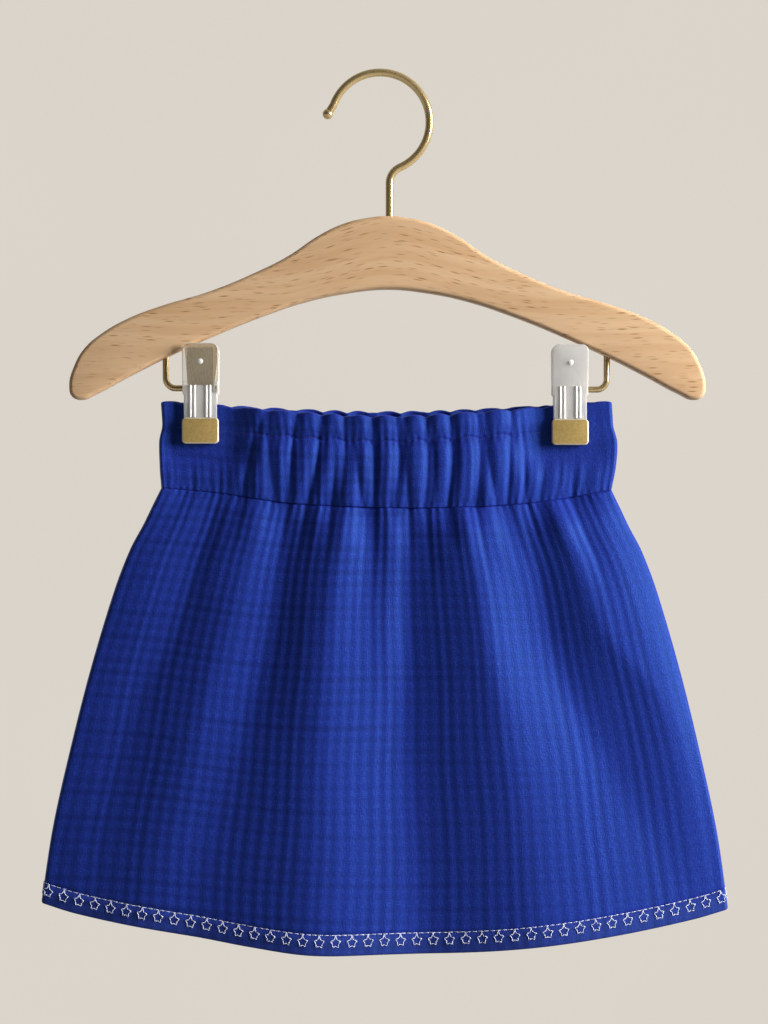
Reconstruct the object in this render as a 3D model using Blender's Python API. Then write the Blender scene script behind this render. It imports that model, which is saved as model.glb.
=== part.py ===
"""Toddler's gauze skirt, hung by two clips from a child's wooden hanger.

Units are metres, +Z is up and the front of the skirt faces -Y. The origin is the point inside the
hook that rests on a rail.
"""

from bisect import bisect_right
from collections import namedtuple
from math import asin, cos, exp, hypot, pi, radians, sin, sqrt, tan

import bmesh
import bpy
from mathutils import Matrix

MM = 0.001
FRONT, BACK = -1, 1
PIECE_GAP = 0.3 * MM

# Skirt: the cloth hangs from its waistband, in a flattened tube that flares to the hem
SKIRT_MIDDLE_X = 3.0 * MM
SKIRT_LEAN = -0.8 * MM
GAUZE_WALL = 1.2 * MM
BAND_WALL = 2.2 * MM
HEM_WALL = 2.4 * MM
HEM_PROUD = 0.6 * MM
HEM_DEEP = 9.8 * MM
HEM_DEPTH = 24.0 * MM
HEM_MIDDLE_Z = -411.2 * MM
HEM_SIDE_RISE = 18.6 * MM
HEM_ROUNDNESS = 2.6
FLARE_OF_DEPTH = 0.75
SIDE_TURN = 4.5 * MM
SEAM_RECESS = 0.5 * MM
SIDE_INSET_GROWS = 3.0
BAND_TOP_Z = -158.2 * MM
BAND_TOP_SIDE_RISE = 5.2 * MM
BAND_TOP_CURVE = 1.6
BACK_STANDS_UP = 2.4 * MM
BACK_STANDS_UP_REACH = 80.0 * MM
PANEL_COLUMNS = 84
BAND_COLUMNS = 84
EVEN_COLUMNS_AT = {"band": 0.45, "skirt": 0.8}
FINE_STEPS_PER_COLUMN = 60
PANEL_ROWS = (0.0, 0.04, 0.1, 0.2, 0.34, 0.5, 0.67, 0.84, 1.0)
BAND_ROWS = (0.0, 0.14, 0.27, 0.45, 0.75, 1.0)

# Half the skirt's width, by the distance down its side from the waist seam
Side = namedtuple("Side", "down_mm half_width_mm")
SIDES = (
    Side(0, 106.3),
    Side(9, 110.7),
    Side(17, 114.5),
    Side(29, 120.2),
    Side(48, 127.0),
    Side(86, 138.5),
    Side(124, 148.0),
    Side(161, 156.0),
    Side(197, 161.0),
)

# Height of the waist seam, across the front from the wearer's right to left
SeamPoint = namedtuple("SeamPoint", "from_middle_mm z_mm")
WAIST_SEAM = (
    SeamPoint(-107, -194.4),
    SeamPoint(-79, -196.8),
    SeamPoint(-48, -201.3),
    SeamPoint(-8, -203.5),
    SeamPoint(38, -203.4),
    SeamPoint(72, -201.0),
    SeamPoint(92, -198.0),
    SeamPoint(107, -195.2),
)

# Waistband: half its width down its height, how far the band swells from its casing
BandRow = namedtuple("BandRow", "down half_width_mm swell_mm gather")
BAND_SHAPE = (
    BandRow(0.0, 106.5, 0.3, 0.75),
    BandRow(0.14, 106.5, 0.6, 0.8),
    BandRow(0.27, 106.6, 0.0, 0.55),
    BandRow(0.45, 107.4, 1.2, 1.0),
    BandRow(0.75, 107.0, 1.4, 1.0),
    BandRow(1.0, 106.3, 0.0, 0.7),
)

# Waistband: how far its outer side stands from the skirt's middle plane, away from the clips
BandDepth = namedtuple("BandDepth", "from_middle_mm depth_mm")
BAND_DEPTHS = (
    BandDepth(0, 7.8),
    BandDepth(40, 7.2),
    BandDepth(66, 5.2),
    BandDepth(87, 3.7),
    BandDepth(97, 4.3),
    BandDepth(108, 4.3),
)

# Gathers of the elastic: the crest's place at the top edge and at the seam, how far down the band it
# begins (0 at the top edge), how far it stands out, and how far it runs on below the seam
Gather = namedtuple("Gather", "top_mm seam_mm starts rise_mm tail_mm")
GATHERS = (
    Gather(-99.0, -98.4, 0.0, 0.8, 24),
    Gather(-88.0, -87.2, 0.0, 0.9, 26),
    Gather(-75.8, -80.6, 0.0, 1.1, 14),
    Gather(-63.0, -70.5, 0.0, 2.1, 34),
    Gather(-60.0, -60.6, 0.9, 0.9, 22),
    Gather(-47.9, -50.2, 0.0, 1.9, 20),
    Gather(-35.6, -39.8, 0.0, 1.8, 30),
    Gather(-24.7, -28.5, 0.0, 1.7, 22),
    Gather(-20.0, -20.0, 0.8, 1.0, 30),
    Gather(-12.0, -10.1, 0.0, 2.0, 16),
    Gather(-0.6, -1.6, 0.0, 1.8, 40),
    Gather(13.5, 14.5, 0.0, 2.1, 30),
    Gather(23.9, 26.3, 0.0, 1.8, 18),
    Gather(36.2, 37.6, 0.0, 2.1, 38),
    Gather(44.7, 44.7, 0.9, 0.8, 20),
    Gather(51.3, 54.6, 0.0, 2.0, 26),
    Gather(62.2, 62.2, 0.9, 0.8, 24),
    Gather(64.1, 70.2, 0.0, 1.9, 16),
    Gather(77.8, 77.8, 0.4, 1.0, 34),
    Gather(85.3, 85.3, 0.4, 0.8, 20),
    Gather(90.5, 92.0, 0.4, 0.8, 24),
    Gather(101.0, 100.0, 0.0, 0.9, 20),
)
GATHER_LEFT_REACH = 4.4 * MM
GATHER_RIGHT_REACH = 3.9 * MM
GATHER_GROWS_OVER = 0.35
GATHER_INSIDE = 0.8
GATHER_BELOW_SEAM = 0.7

# Folds of the skirt: the crest's place across the width (0 left, 1 right) at four heights, its reach
# as a share of the width, and how far it stands out, or lies in, near the seam, half-way and at the hem
Fold = namedtuple("Fold", "seam quarter half hem reach top_mm middle_mm hem_mm")
FRONT_FOLDS = (
    Fold(0.045, 0.064, 0.058, 0.050, 0.030, 1.4, 1.4, 0.4),
    Fold(0.135, 0.122, 0.105, 0.070, 0.036, -2.0, -2.6, -0.8),
    Fold(0.200, 0.208, 0.187, 0.115, 0.042, 2.4, 3.6, 1.6),
    Fold(0.280, 0.298, 0.272, 0.220, 0.044, -2.8, -4.6, -3.0),
    Fold(0.400, 0.391, 0.375, 0.388, 0.054, 3.0, 4.8, 5.0),
    Fold(0.537, 0.545, 0.533, 0.556, 0.056, -2.8, -4.6, -4.4),
    Fold(0.652, 0.664, 0.672, 0.697, 0.052, 3.0, 4.8, 3.8),
    Fold(0.778, 0.768, 0.822, 0.930, 0.048, -2.6, -4.0, -1.4),
    Fold(0.845, 0.895, 0.955, 0.985, 0.034, 2.0, 2.2, 0.3),
)
BACK_FOLDS = (
    Fold(0.070, 0.062, 0.050, 0.04, 0.030, 1.0, 1.0, 0.4),
    Fold(0.150, 0.160, 0.150, 0.130, 0.040, -1.8, -2.6, -1.6),
    Fold(0.250, 0.262, 0.265, 0.250, 0.046, 2.2, 3.2, 2.8),
    Fold(0.345, 0.350, 0.372, 0.375, 0.042, -2.0, -3.2, -2.8),
    Fold(0.460, 0.448, 0.470, 0.482, 0.052, 2.6, 3.6, 3.6),
    Fold(0.590, 0.585, 0.577, 0.600, 0.048, -2.6, -3.4, -3.0),
    Fold(0.690, 0.700, 0.690, 0.715, 0.044, 2.2, 3.4, 3.0),
    Fold(0.790, 0.800, 0.812, 0.850, 0.044, -2.0, -2.8, -1.6),
    Fold(0.880, 0.905, 0.930, 0.955, 0.032, 1.4, 1.6, 0.6),
)
FOLD_STATIONS = (0.0, 0.25, 0.5, 1.0)
FOLD_RISES_AT = (0.08, 0.45, 1.0)
FOLDS_START = (-0.02, 0.12)
SIDES_STAY_PLAIN = 0.1

# Hanger arm: the right half of its outline, out from the middle
ARM_MIDDLE_X = 3.5 * MM
ARM_TOP_Z = -66.2 * MM
ARM_THICK = 12.0 * MM
ARM_EDGE_ROUND = 3.0 * MM
ArmPoint = namedtuple("ArmPoint", "out_mm drop_mm")
ARM_UPPER_EDGE = (
    ArmPoint(0.0, 0.0),
    ArmPoint(10.0, 1.0),
    ArmPoint(20.0, 3.4),
    ArmPoint(32.0, 9.0),
    ArmPoint(47.0, 19.0),
    ArmPoint(63.0, 27.0),
    ArmPoint(84.0, 35.6),
    ArmPoint(106.0, 42.2),
    ArmPoint(122.0, 48.2),
    ArmPoint(135.0, 55.6),
    ArmPoint(143.0, 62.6),
    ArmPoint(148.0, 71.5),
    ArmPoint(150.0, 80.0),
)
ARM_LOWER_EDGE = (
    ArmPoint(0.0, 34.4),
    ArmPoint(19.0, 36.2),
    ArmPoint(38.0, 40.2),
    ArmPoint(58.0, 46.8),
    ArmPoint(80.0, 55.6),
    ArmPoint(103.0, 66.0),
    ArmPoint(122.0, 75.6),
    ArmPoint(137.0, 83.6),
    ArmPoint(144.5, 86.6),
    ArmPoint(148.6, 85.2),
)
ARM_STEPS_PER_POINT = 2

# Hook: a tip that flicks outwards, one long arc round the rail, a bend back and a stem into the arm
HOOK_WIRE = 3.8 * MM
HOOK_RADIUS = 23.4 * MM
HOOK_STARTS = radians(160)
HOOK_ENDS = radians(-66)
HOOK_BEND_RADIUS = 8.4 * MM
HOOK_TIP_TURN = radians(12)
HOOK_TIP_LENGTH = 5.0 * MM
HOOK_STEM_IN_ARM = 18.0 * MM
HOOK_ARC_STEPS = 28
HOOK_BEND_STEPS = 6
HOOK_BALL_STEPS = 5
HOOK_BALL = 1.32
HOOK_BALL_STARTS = radians(20)

# Clips: each hangs on an L-shaped wire from the arm and grips both layers of the waistband
Clip = namedtuple("Clip", "name middle_x_mm wire_x_mm wire_z_mm")
CLIPS = (
    Clip("left", -84.6, -101.2, -147.3),
    Clip("right", 89.6, 107.1, -147.9),
)
CLIP_WIRE = 3.0 * MM
CLIP_WIRE_BEND = 4.7 * MM
CLIP_WIRE_IN_ARM = 9.0 * MM
CLIP_WIRE_PAST_MIDDLE = 7.4 * MM
CLIP_WIRE_BEND_STEPS = 5
BORE_ROOM = PIECE_GAP

JAW_WIDTH = 17.0 * MM
JAW_LOW_WIDTH = 15.6 * MM
JAW_TOP = 21.0 * MM
JAW_STEP_DOWN = -2.6 * MM
JAW_CORNER = 3.2 * MM
JAW_INNER_Y = 3.75 * MM
JAW_THICK = 1.8 * MM
JAW_IN_PAD = 6.0 * MM
JAW_FLARE = radians(12)
JAW_FLARE_FROM = 1.5 * MM
CHEEK_WIDTH = 1.2 * MM
CHEEK_HEIGHT = 6.6 * MM
CHEEK_INNER_Y = 0.45 * MM
CHEEK_SUNK = 0.8 * MM
PIN_RADIUS = 1.65 * MM
PIN_HEIGHT = 12.5 * MM
PIN_PROUD = 0.5 * MM
PIN_SUNK = 1.2 * MM

PAD_WIDTH = 17.4 * MM
PAD_HEIGHT = 12.4 * MM
PAD_TOP = -13.9 * MM
PAD_CORNER = 2.0 * MM
PAD_EDGE = 0.4 * MM
PAD_INNER_Y = 2.85 * MM
PAD_THICK = 3.6 * MM

LEAF_WIDTH = 12.4 * MM
LEAF_TOP = 19.1 * MM
LEAF_FOOT = 1.6 * MM
LEAF_TONGUE = 3.8 * MM
LEAF_CORNER = 1.0 * MM
LEAF_INNER_Y = 3.0 * MM
LEAF_THICK = 0.45 * MM

# Where a clip presses the waistband flat
PRESSED_DEPTH = BAND_WALL + 0.35 * MM
PRESS_HALF_WIDTH = 11.0 * MM
PRESS_SIDE_EASE = 9.0 * MM
PRESS_BELOW_PAD = 1.5 * MM
PRESS_LOW_EASE = 9.0 * MM

CORNER_STEPS = 3
BORE_SIDES = 16
SMALL_BORE_SIDES = 12
WIRE_RESOLUTION = 2
WELD = 0.001 * MM
CLOTH_CREASE = radians(50)
HARD_EDGE = radians(35)
CUTTER_OVERSHOOT = 5.0 * MM


def clear_scene():
    """Remove what Blender starts with."""
    for obj in list(bpy.data.objects):
        bpy.data.objects.remove(obj)


def new_collection(name):
    """A collection in the scene, for the pieces or for what cuts them."""
    collection = bpy.data.collections.new(name)
    bpy.context.scene.collection.children.link(collection)
    return collection


def new_material(name, colour, roughness, metallic=0.0, alpha=1.0):
    """A plain Principled material."""
    material = bpy.data.materials.new(name)
    material.use_nodes = True
    shader = material.node_tree.nodes["Principled BSDF"]
    shader.inputs["Base Color"].default_value = (*colour, 1.0)
    shader.inputs["Roughness"].default_value = roughness
    shader.inputs["Metallic"].default_value = metallic
    shader.inputs["Alpha"].default_value = alpha
    material.diffuse_color = (*colour, alpha)
    return material


def soft_step(value, start, end):
    """0 at start and 1 at end, with a soft S between them."""
    share = min(max((value - start) / (end - start), 0.0), 1.0)
    return share * share * (3.0 - 2.0 * share)


def curve_through(places, values, at):
    """The height at a place on a smooth curve through the values, level past both ends."""
    if at <= places[0]:
        return values[0]
    if at >= places[-1]:
        return values[-1]
    i = bisect_right(places, at) - 1
    width = places[i + 1] - places[i]
    share = (at - places[i]) / width

    def slope(k):
        before, after = max(k - 1, 0), min(k + 1, len(places) - 1)
        return (values[after] - values[before]) / (places[after] - places[before])

    square, cube = share**2, share**3
    return (
        values[i] * (2 * cube - 3 * square + 1)
        + slope(i) * width * (cube - 2 * square + share)
        + values[i + 1] * (3 * square - 2 * cube)
        + slope(i + 1) * width * (cube - square)
    )


def column(table, name):
    """One column of a table. A column in millimetres comes back in metres."""
    unit = MM if name.endswith("_mm") else 1.0
    return [getattr(row, name) * unit for row in table]


def waist_seam_z(from_middle):
    """Height of the seam between waistband and skirt."""
    return curve_through(
        column(WAIST_SEAM, "from_middle_mm"), column(WAIST_SEAM, "z_mm"), from_middle
    )


def hem_z(x_share):
    """Height of the skirt's lower edge, which hangs lowest in the middle."""
    return HEM_MIDDLE_Z + HEM_SIDE_RISE * x_share**2


def side_turn(from_edge, reach):
    """Depth share where the cloth turns round the skirt's side: 0 at the edge, 1 past the turn."""
    inward = min(max(from_edge / reach, 0.0), 1.0)
    return sqrt(1.0 - (1.0 - inward) ** 2)


def lens(x_share, roundness):
    """Depth share of the hanging tube across its width: 1 in the middle, 0 at the sides."""
    return max(1.0 - abs(x_share) ** roundness, 0.0) ** (1.0 / roundness)


def open_band_depth(from_middle):
    """How far the waistband stands from the middle plane where no clip presses it."""
    return curve_through(
        column(BAND_DEPTHS, "from_middle_mm"),
        column(BAND_DEPTHS, "depth_mm"),
        abs(from_middle),
    )


def gather_height(from_middle, down, side):
    """Height of the gathers across the band: down is 0 at the top edge and 1 at the seam."""
    height = 0.0
    for gather in GATHERS:
        top, seam = gather.top_mm * MM, gather.seam_mm * MM
        crest = (top + (seam - top) * min(down, 1.0)) * -side
        apart = (from_middle - crest) * -side
        reach = GATHER_LEFT_REACH if apart < 0 else GATHER_RIGHT_REACH
        grown = soft_step(down, gather.starts - GATHER_GROWS_OVER, gather.starts)
        height += gather.rise_mm * MM * grown * exp(-((apart / reach) ** 2))
    return height


def gather_tail(x_share, below_seam, side):
    """Height of the gathers below the seam, where each runs out at its own length."""
    at_seam = x_share * SIDES[0].half_width_mm * MM
    height = 0.0
    for gather in GATHERS:
        apart = at_seam * -side - gather.seam_mm * MM
        reach = GATHER_LEFT_REACH if apart < 0 else GATHER_RIGHT_REACH
        left = 1.0 - soft_step(below_seam, 0.0, gather.tail_mm * MM)
        height += gather.rise_mm * MM * left * exp(-((apart / reach) ** 2))
    return height * GATHER_BELOW_SEAM


def fold_height(x_share, down, side):
    """How far the folds move the cloth out: down is 0 at the waist seam and 1 at the hem."""
    folds = FRONT_FOLDS if side == FRONT else BACK_FOLDS
    across = (x_share + 1.0) / 2.0
    height = 0.0
    for fold in folds:
        crest = curve_through(
            FOLD_STATIONS, (fold.seam, fold.quarter, fold.half, fold.hem), down
        )
        rise = curve_through(
            FOLD_RISES_AT, (fold.top_mm, fold.middle_mm, fold.hem_mm), down
        )
        height += rise * MM * exp(-(((across - crest) / fold.reach) ** 2))
    edge = soft_step(1.0 - abs(x_share), 0.0, SIDES_STAY_PLAIN)
    return height * edge * soft_step(down, *FOLDS_START)


def press(x, z):
    """1 where a clip presses the waistband flat, 0 away from it."""
    most = 0.0
    for clip in CLIPS:
        aside = abs(x - clip.middle_x_mm * MM)
        foot = clip.wire_z_mm * MM + PAD_TOP - PAD_HEIGHT - PRESS_BELOW_PAD
        beside = 1.0 - soft_step(aside, PRESS_HALF_WIDTH, PRESS_HALF_WIDTH + PRESS_SIDE_EASE)
        above = soft_step(z, foot - PRESS_LOW_EASE, foot)
        most = max(most, beside * above)
    return most


def band_point(x_share, down, inside, side):
    """A point of the waistband, on its outer or its inner side."""
    shape_at = column(BAND_SHAPE, "down")
    half_width = curve_through(shape_at, column(BAND_SHAPE, "half_width_mm"), down)
    swell = curve_through(shape_at, column(BAND_SHAPE, "swell_mm"), down)
    gather = curve_through(shape_at, column(BAND_SHAPE, "gather"), down)
    wall = BAND_WALL if inside else 0.0
    from_middle = x_share * (half_width - wall)
    x = SKIRT_MIDDLE_X + from_middle
    sides_up = BAND_TOP_SIDE_RISE * abs(x_share) ** BAND_TOP_CURVE
    top = BAND_TOP_Z + sides_up
    if side == BACK:
        top += BACK_STANDS_UP * max(1.0 - (from_middle / BACK_STANDS_UP_REACH) ** 2, 0.0)
    bottom = waist_seam_z(from_middle) + PIECE_GAP / 2
    z = top + (bottom - top) * down
    pressed = press(x, z)
    depth = open_band_depth(from_middle) * (1.0 - pressed) + PRESSED_DEPTH * pressed
    relief = swell + gather * gather_height(from_middle, down, side)
    if inside:
        relief *= GATHER_INSIDE
    turn = side_turn((1.0 - abs(x_share)) * half_width, SIDE_TURN)
    out = PIECE_GAP / 2 + (depth - wall - PIECE_GAP / 2 + relief * (1.0 - pressed)) * turn
    return x, side * out, z


def skirt_point(x_share, down, inset, side):
    """A point of the skirt, inset from its outer side. down is 0 at the seam and 1 at the lower edge."""
    longest = SIDES[-1].down_mm
    half_width = curve_through(
        [row.down_mm / longest for row in SIDES], column(SIDES, "half_width_mm"), down
    )
    from_middle = x_share * (half_width - inset)
    x = SKIRT_MIDDLE_X + SKIRT_LEAN * down + from_middle
    at_seam = x_share * SIDES[0].half_width_mm * MM
    top = waist_seam_z(at_seam) - PIECE_GAP / 2
    bottom = hem_z(x_share)
    z = top + (bottom - top) * down
    turn = side_turn((1.0 - abs(x_share)) * SIDES[0].half_width_mm * MM, SIDE_TURN)
    waist_depth = (open_band_depth(at_seam) - SEAM_RECESS) * turn
    hem_depth = HEM_DEPTH * lens(x_share, HEM_ROUNDNESS)
    grown = down**FLARE_OF_DEPTH
    depth = waist_depth * (1.0 - grown) + hem_depth * grown
    relief = fold_height(x_share, down, side)
    relief += gather_tail(x_share, top - z, side) * turn
    hem_inset = min(lens(x_share, HEM_ROUNDNESS) * SIDE_INSET_GROWS, 1.0)
    in_share = turn * (1.0 - grown) + hem_inset * grown
    out = PIECE_GAP / 2 + max(depth - inset * in_share + relief, 0.0)
    return x, side * out, z


def half_gap_share():
    """Half the gap between panel and hem, as a share of the skirt's length."""
    return PIECE_GAP / 2 / (waist_seam_z(0.0) - HEM_MIDDLE_Z)


def hem_starts(x_share):
    """How far down the skirt its hem begins, as a share of the skirt's length there."""
    top = waist_seam_z(x_share * SIDES[0].half_width_mm * MM)
    return 1.0 - HEM_DEEP / (top - hem_z(x_share))


def even_places(count, point):
    """count + 1 places from -1 to 1 whose points lie about evenly along a section of cloth."""
    fine = FINE_STEPS_PER_COLUMN * count
    shares = [-cos(pi * i / fine) for i in range(fine + 1)]
    points = [point(share) for share in shares]
    lengths = [0.0]
    for here, there in zip(points, points[1:]):
        lengths.append(lengths[-1] + hypot(there[0] - here[0], there[1] - here[1]))
    places = []
    for i in range(count + 1):
        wanted = lengths[-1] * i / count
        k = min(max(bisect_right(lengths, wanted) - 1, 0), fine - 1)
        part = (wanted - lengths[k]) / (lengths[k + 1] - lengths[k])
        places.append(shares[k] + (shares[k + 1] - shares[k]) * part)
    places[0], places[-1] = -1.0, 1.0
    return places


def add_wall(name, outer, inner, material, collection):
    """A closed wall of cloth between two grids of points that have the same rows and columns."""
    shell = bmesh.new()
    skins = [[[shell.verts.new(p) for p in row] for row in grid] for grid in (outer, inner)]
    rows, columns = len(outer), len(outer[0])
    for skin in skins:
        for r in range(rows - 1):
            for c in range(columns - 1):
                shell.faces.new((skin[r][c], skin[r][c + 1], skin[r + 1][c + 1], skin[r + 1][c]))
    rim = [(0, c) for c in range(columns)]
    rim += [(r, columns - 1) for r in range(1, rows)]
    rim += [(rows - 1, c) for c in range(columns - 2, -1, -1)]
    rim += [(r, 0) for r in range(rows - 2, 0, -1)]
    for (r, c), (next_r, next_c) in zip(rim, rim[1:] + rim[:1]):
        out, inn = skins
        shell.faces.new((out[r][c], out[next_r][next_c], inn[next_r][next_c], inn[r][c]))
    bmesh.ops.recalc_face_normals(shell, faces=shell.faces)
    mesh = bpy.data.meshes.new(name)
    shell.to_mesh(mesh)
    shell.free()
    mesh.shade_smooth()
    mesh.set_sharp_from_angle(angle=CLOTH_CREASE)
    return add_object(name, mesh, material, collection)


def add_object(name, data, material, collection):
    """An object of a mesh or curve, with its material."""
    if not data.materials:
        data.materials.append(material)
    obj = bpy.data.objects.new(name, data)
    collection.objects.link(obj)
    return obj


def add_band(name, side, material, collection):
    """Half of the waistband: the casing of the elastic, with the ruffle above it."""
    even_at = EVEN_COLUMNS_AT["band"]
    places = even_places(BAND_COLUMNS, lambda share: band_point(share, even_at, False, side))
    grids = [
        [[band_point(share, down, inside, side) for share in places] for down in BAND_ROWS]
        for inside in (False, True)
    ]
    return add_wall(name, grids[0], grids[1], material, collection)


def skirt_places(side):
    """The columns that the panel and its hem share."""
    even_at = EVEN_COLUMNS_AT["skirt"]
    return even_places(PANEL_COLUMNS, lambda share: skirt_point(share, even_at, 0.0, side))


def add_panel(name, side, material, collection):
    """One gathered panel of the skirt, down to the hem."""

    def point(share, row, inset):
        lowest = hem_starts(share) - half_gap_share()
        return skirt_point(share, row * lowest, inset, side)

    places = skirt_places(side)
    grids = [
        [[point(share, row, inset) for share in places] for row in PANEL_ROWS]
        for inset in (0.0, GAUZE_WALL)
    ]
    return add_wall(name, grids[0], grids[1], material, collection)


def add_hem(name, side, material, collection):
    """The turned-up hem, on the panel's own points moved out to its thicker wall."""

    def point(share, low, inset):
        down = 1.0 if low else hem_starts(share) + half_gap_share()
        return skirt_point(share, down, inset, side)

    places = skirt_places(side)
    grids = [
        [[point(share, low, inset) for share in places] for low in (False, True)]
        for inset in (-HEM_PROUD, HEM_WALL - HEM_PROUD)
    ]
    return add_wall(name, grids[0], grids[1], material, collection)


def finished_mesh(obj):
    """The mesh of an object with its modifiers or bevel worked in, its caps welded, at its place."""
    bpy.context.view_layer.update()
    evaluated = obj.evaluated_get(bpy.context.evaluated_depsgraph_get())
    mesh = bpy.data.meshes.new_from_object(evaluated)
    shape = bmesh.new()
    shape.from_mesh(mesh)
    bmesh.ops.remove_doubles(shape, verts=shape.verts, dist=WELD)
    shape.transform(obj.matrix_world)
    bmesh.ops.recalc_face_normals(shape, faces=shape.faces)
    shape.to_mesh(mesh)
    shape.free()
    return mesh


def settle(obj):
    """Replace a curve or a modified object by its finished mesh, in the same collections."""
    mesh = finished_mesh(obj)
    name, collections = obj.name, list(obj.users_collection)
    bpy.data.objects.remove(obj)
    settled = bpy.data.objects.new(name, mesh)
    for collection in collections:
        collection.objects.link(settled)
    mesh.shade_smooth()
    mesh.set_sharp_from_angle(angle=HARD_EDGE)
    return settled


def add_plate(name, spline_type, outline, thick, edge, resolution, collection):
    """A flat outline in the XZ plane, thick along Y about Y = 0, with rounded edges."""
    curve = bpy.data.curves.new(name, "CURVE")
    curve.dimensions = "2D"
    curve.fill_mode = "BOTH"
    curve.extrude = thick / 2 - edge
    curve.bevel_depth = edge
    curve.bevel_resolution = resolution
    curve.offset = -edge
    spline = curve.splines.new(spline_type)
    if spline_type == "BEZIER":
        spline.bezier_points.add(len(outline) - 1)
        for knot, (x, z) in zip(spline.bezier_points, outline):
            knot.co = (x, z, 0.0)
            knot.handle_left_type = knot.handle_right_type = "AUTO"
        spline.resolution_u = ARM_STEPS_PER_POINT
    else:
        spline.points.add(len(outline) - 1)
        for knot, (x, z) in zip(spline.points, outline):
            knot.co = (x, z, 0.0, 1.0)
    spline.use_cyclic_u = True
    obj = bpy.data.objects.new(name, curve)
    obj.rotation_euler = (pi / 2, 0.0, 0.0)
    collection.objects.link(obj)
    return settle(obj)


def add_wire(name, route, thick, material, collection, swell=None):
    """A round wire along a route, with filled ends. swell gives each point's share of the thickness."""
    curve = bpy.data.curves.new(name, "CURVE")
    curve.dimensions = "3D"
    curve.bevel_depth = thick / 2
    curve.bevel_resolution = WIRE_RESOLUTION
    curve.use_fill_caps = True
    spline = curve.splines.new("POLY")
    spline.points.add(len(route) - 1)
    for i, (knot, place) in enumerate(zip(spline.points, route)):
        knot.co = (*place, 1.0)
        knot.radius = swell[i] if swell else 1.0
    return add_object(name, curve, material, collection)


def add_cylinder(name, radius, start, end, collection, sides=BORE_SIDES):
    """A cylinder between two points on a line along X, Y or Z."""
    length = max(abs(b - a) for a, b in zip(start, end))
    along_x, along_y = (abs(end[i] - start[i]) > length / 2 for i in (0, 1))
    bpy.ops.mesh.primitive_cylinder_add(vertices=sides, radius=radius, depth=length)
    obj = bpy.context.object
    obj.name = name
    obj.location = [(a + b) / 2 for a, b in zip(start, end)]
    obj.rotation_euler = (pi / 2 if along_y else 0.0, pi / 2 if along_x else 0.0, 0.0)
    move_to(obj, collection)
    return obj


def add_box(name, low, high, collection):
    """A box between two corners."""
    bpy.ops.mesh.primitive_cube_add(size=1.0)
    obj = bpy.context.object
    obj.name = name
    obj.data.transform(box_matrix(low, high))
    move_to(obj, collection)
    return obj


def box_matrix(low, high):
    """What stretches and moves a unit cube to lie between two corners."""
    middle = [(a + b) / 2 for a, b in zip(low, high)]
    sizes = [b - a for a, b in zip(low, high)]
    return Matrix.Translation(middle) @ Matrix.Diagonal((*sizes, 1.0))


def move_to(obj, collection):
    """Take an object out of the collections it is in and put it in this one."""
    for other in list(obj.users_collection):
        other.objects.unlink(obj)
    collection.objects.link(obj)


def work(obj, tool, operation):
    """Cut or join with a tool that stays out of the render."""
    tool.hide_render = True
    tool.display_type = "WIRE"
    modifier = obj.modifiers.new(tool.name, "BOOLEAN")
    modifier.object = tool
    modifier.operation = operation
    modifier.solver = "EXACT"


def arm_outline():
    """The arm's whole outline: the right half, and its mirror back to the start."""
    half = ARM_UPPER_EDGE + ARM_LOWER_EDGE[::-1]
    right = [(row.out_mm * MM, -row.drop_mm * MM) for row in half]
    left = [(-x, z) for x, z in reversed(right[1:-1])]
    return [(ARM_MIDDLE_X + x, ARM_TOP_Z + z) for x, z in right + left]


def add_hanger_arm(material, collection, cutters):
    """The arched wooden arm, with a bore for the hook and one for each clip wire."""
    arm = add_plate("hanger_arm", "BEZIER", arm_outline(), ARM_THICK, ARM_EDGE_ROUND, 1, collection)
    arm.data.materials.append(material)
    stem_x = hook_route()[-1][0]
    hook_bore = add_cylinder(
        "hook_bore",
        HOOK_WIRE / 2 + BORE_ROOM,
        (stem_x, 0.0, ARM_TOP_Z - HOOK_STEM_IN_ARM - PIECE_GAP),
        (stem_x, 0.0, ARM_TOP_Z + CUTTER_OVERSHOOT),
        cutters,
    )
    work(arm, hook_bore, "DIFFERENCE")
    for clip in CLIPS:
        x = clip.wire_x_mm * MM
        top = clip_wire_top(clip)
        bore = add_cylinder(
            f"clip_bore_{clip.name}",
            CLIP_WIRE / 2 + BORE_ROOM,
            (x, 0.0, top + PIECE_GAP),
            (x, 0.0, top - CLIP_WIRE_IN_ARM - CUTTER_OVERSHOOT),
            cutters,
            sides=SMALL_BORE_SIDES,
        )
        work(arm, bore, "DIFFERENCE")
    return arm


def clip_wire_top(clip):
    """Height of the end of a clip's wire, inside the arm."""
    out = abs(clip.wire_x_mm * MM - ARM_MIDDLE_X)
    outs, drops = column(ARM_LOWER_EDGE, "out_mm"), column(ARM_LOWER_EDGE, "drop_mm")
    drop = curve_through(outs, drops, out)
    return ARM_TOP_Z - drop + CLIP_WIRE_IN_ARM


def hook_tip_way():
    """The way (x, z) that the wire runs at its tip."""
    angle = HOOK_STARTS - HOOK_TIP_TURN
    return -sin(angle), cos(angle)


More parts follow.
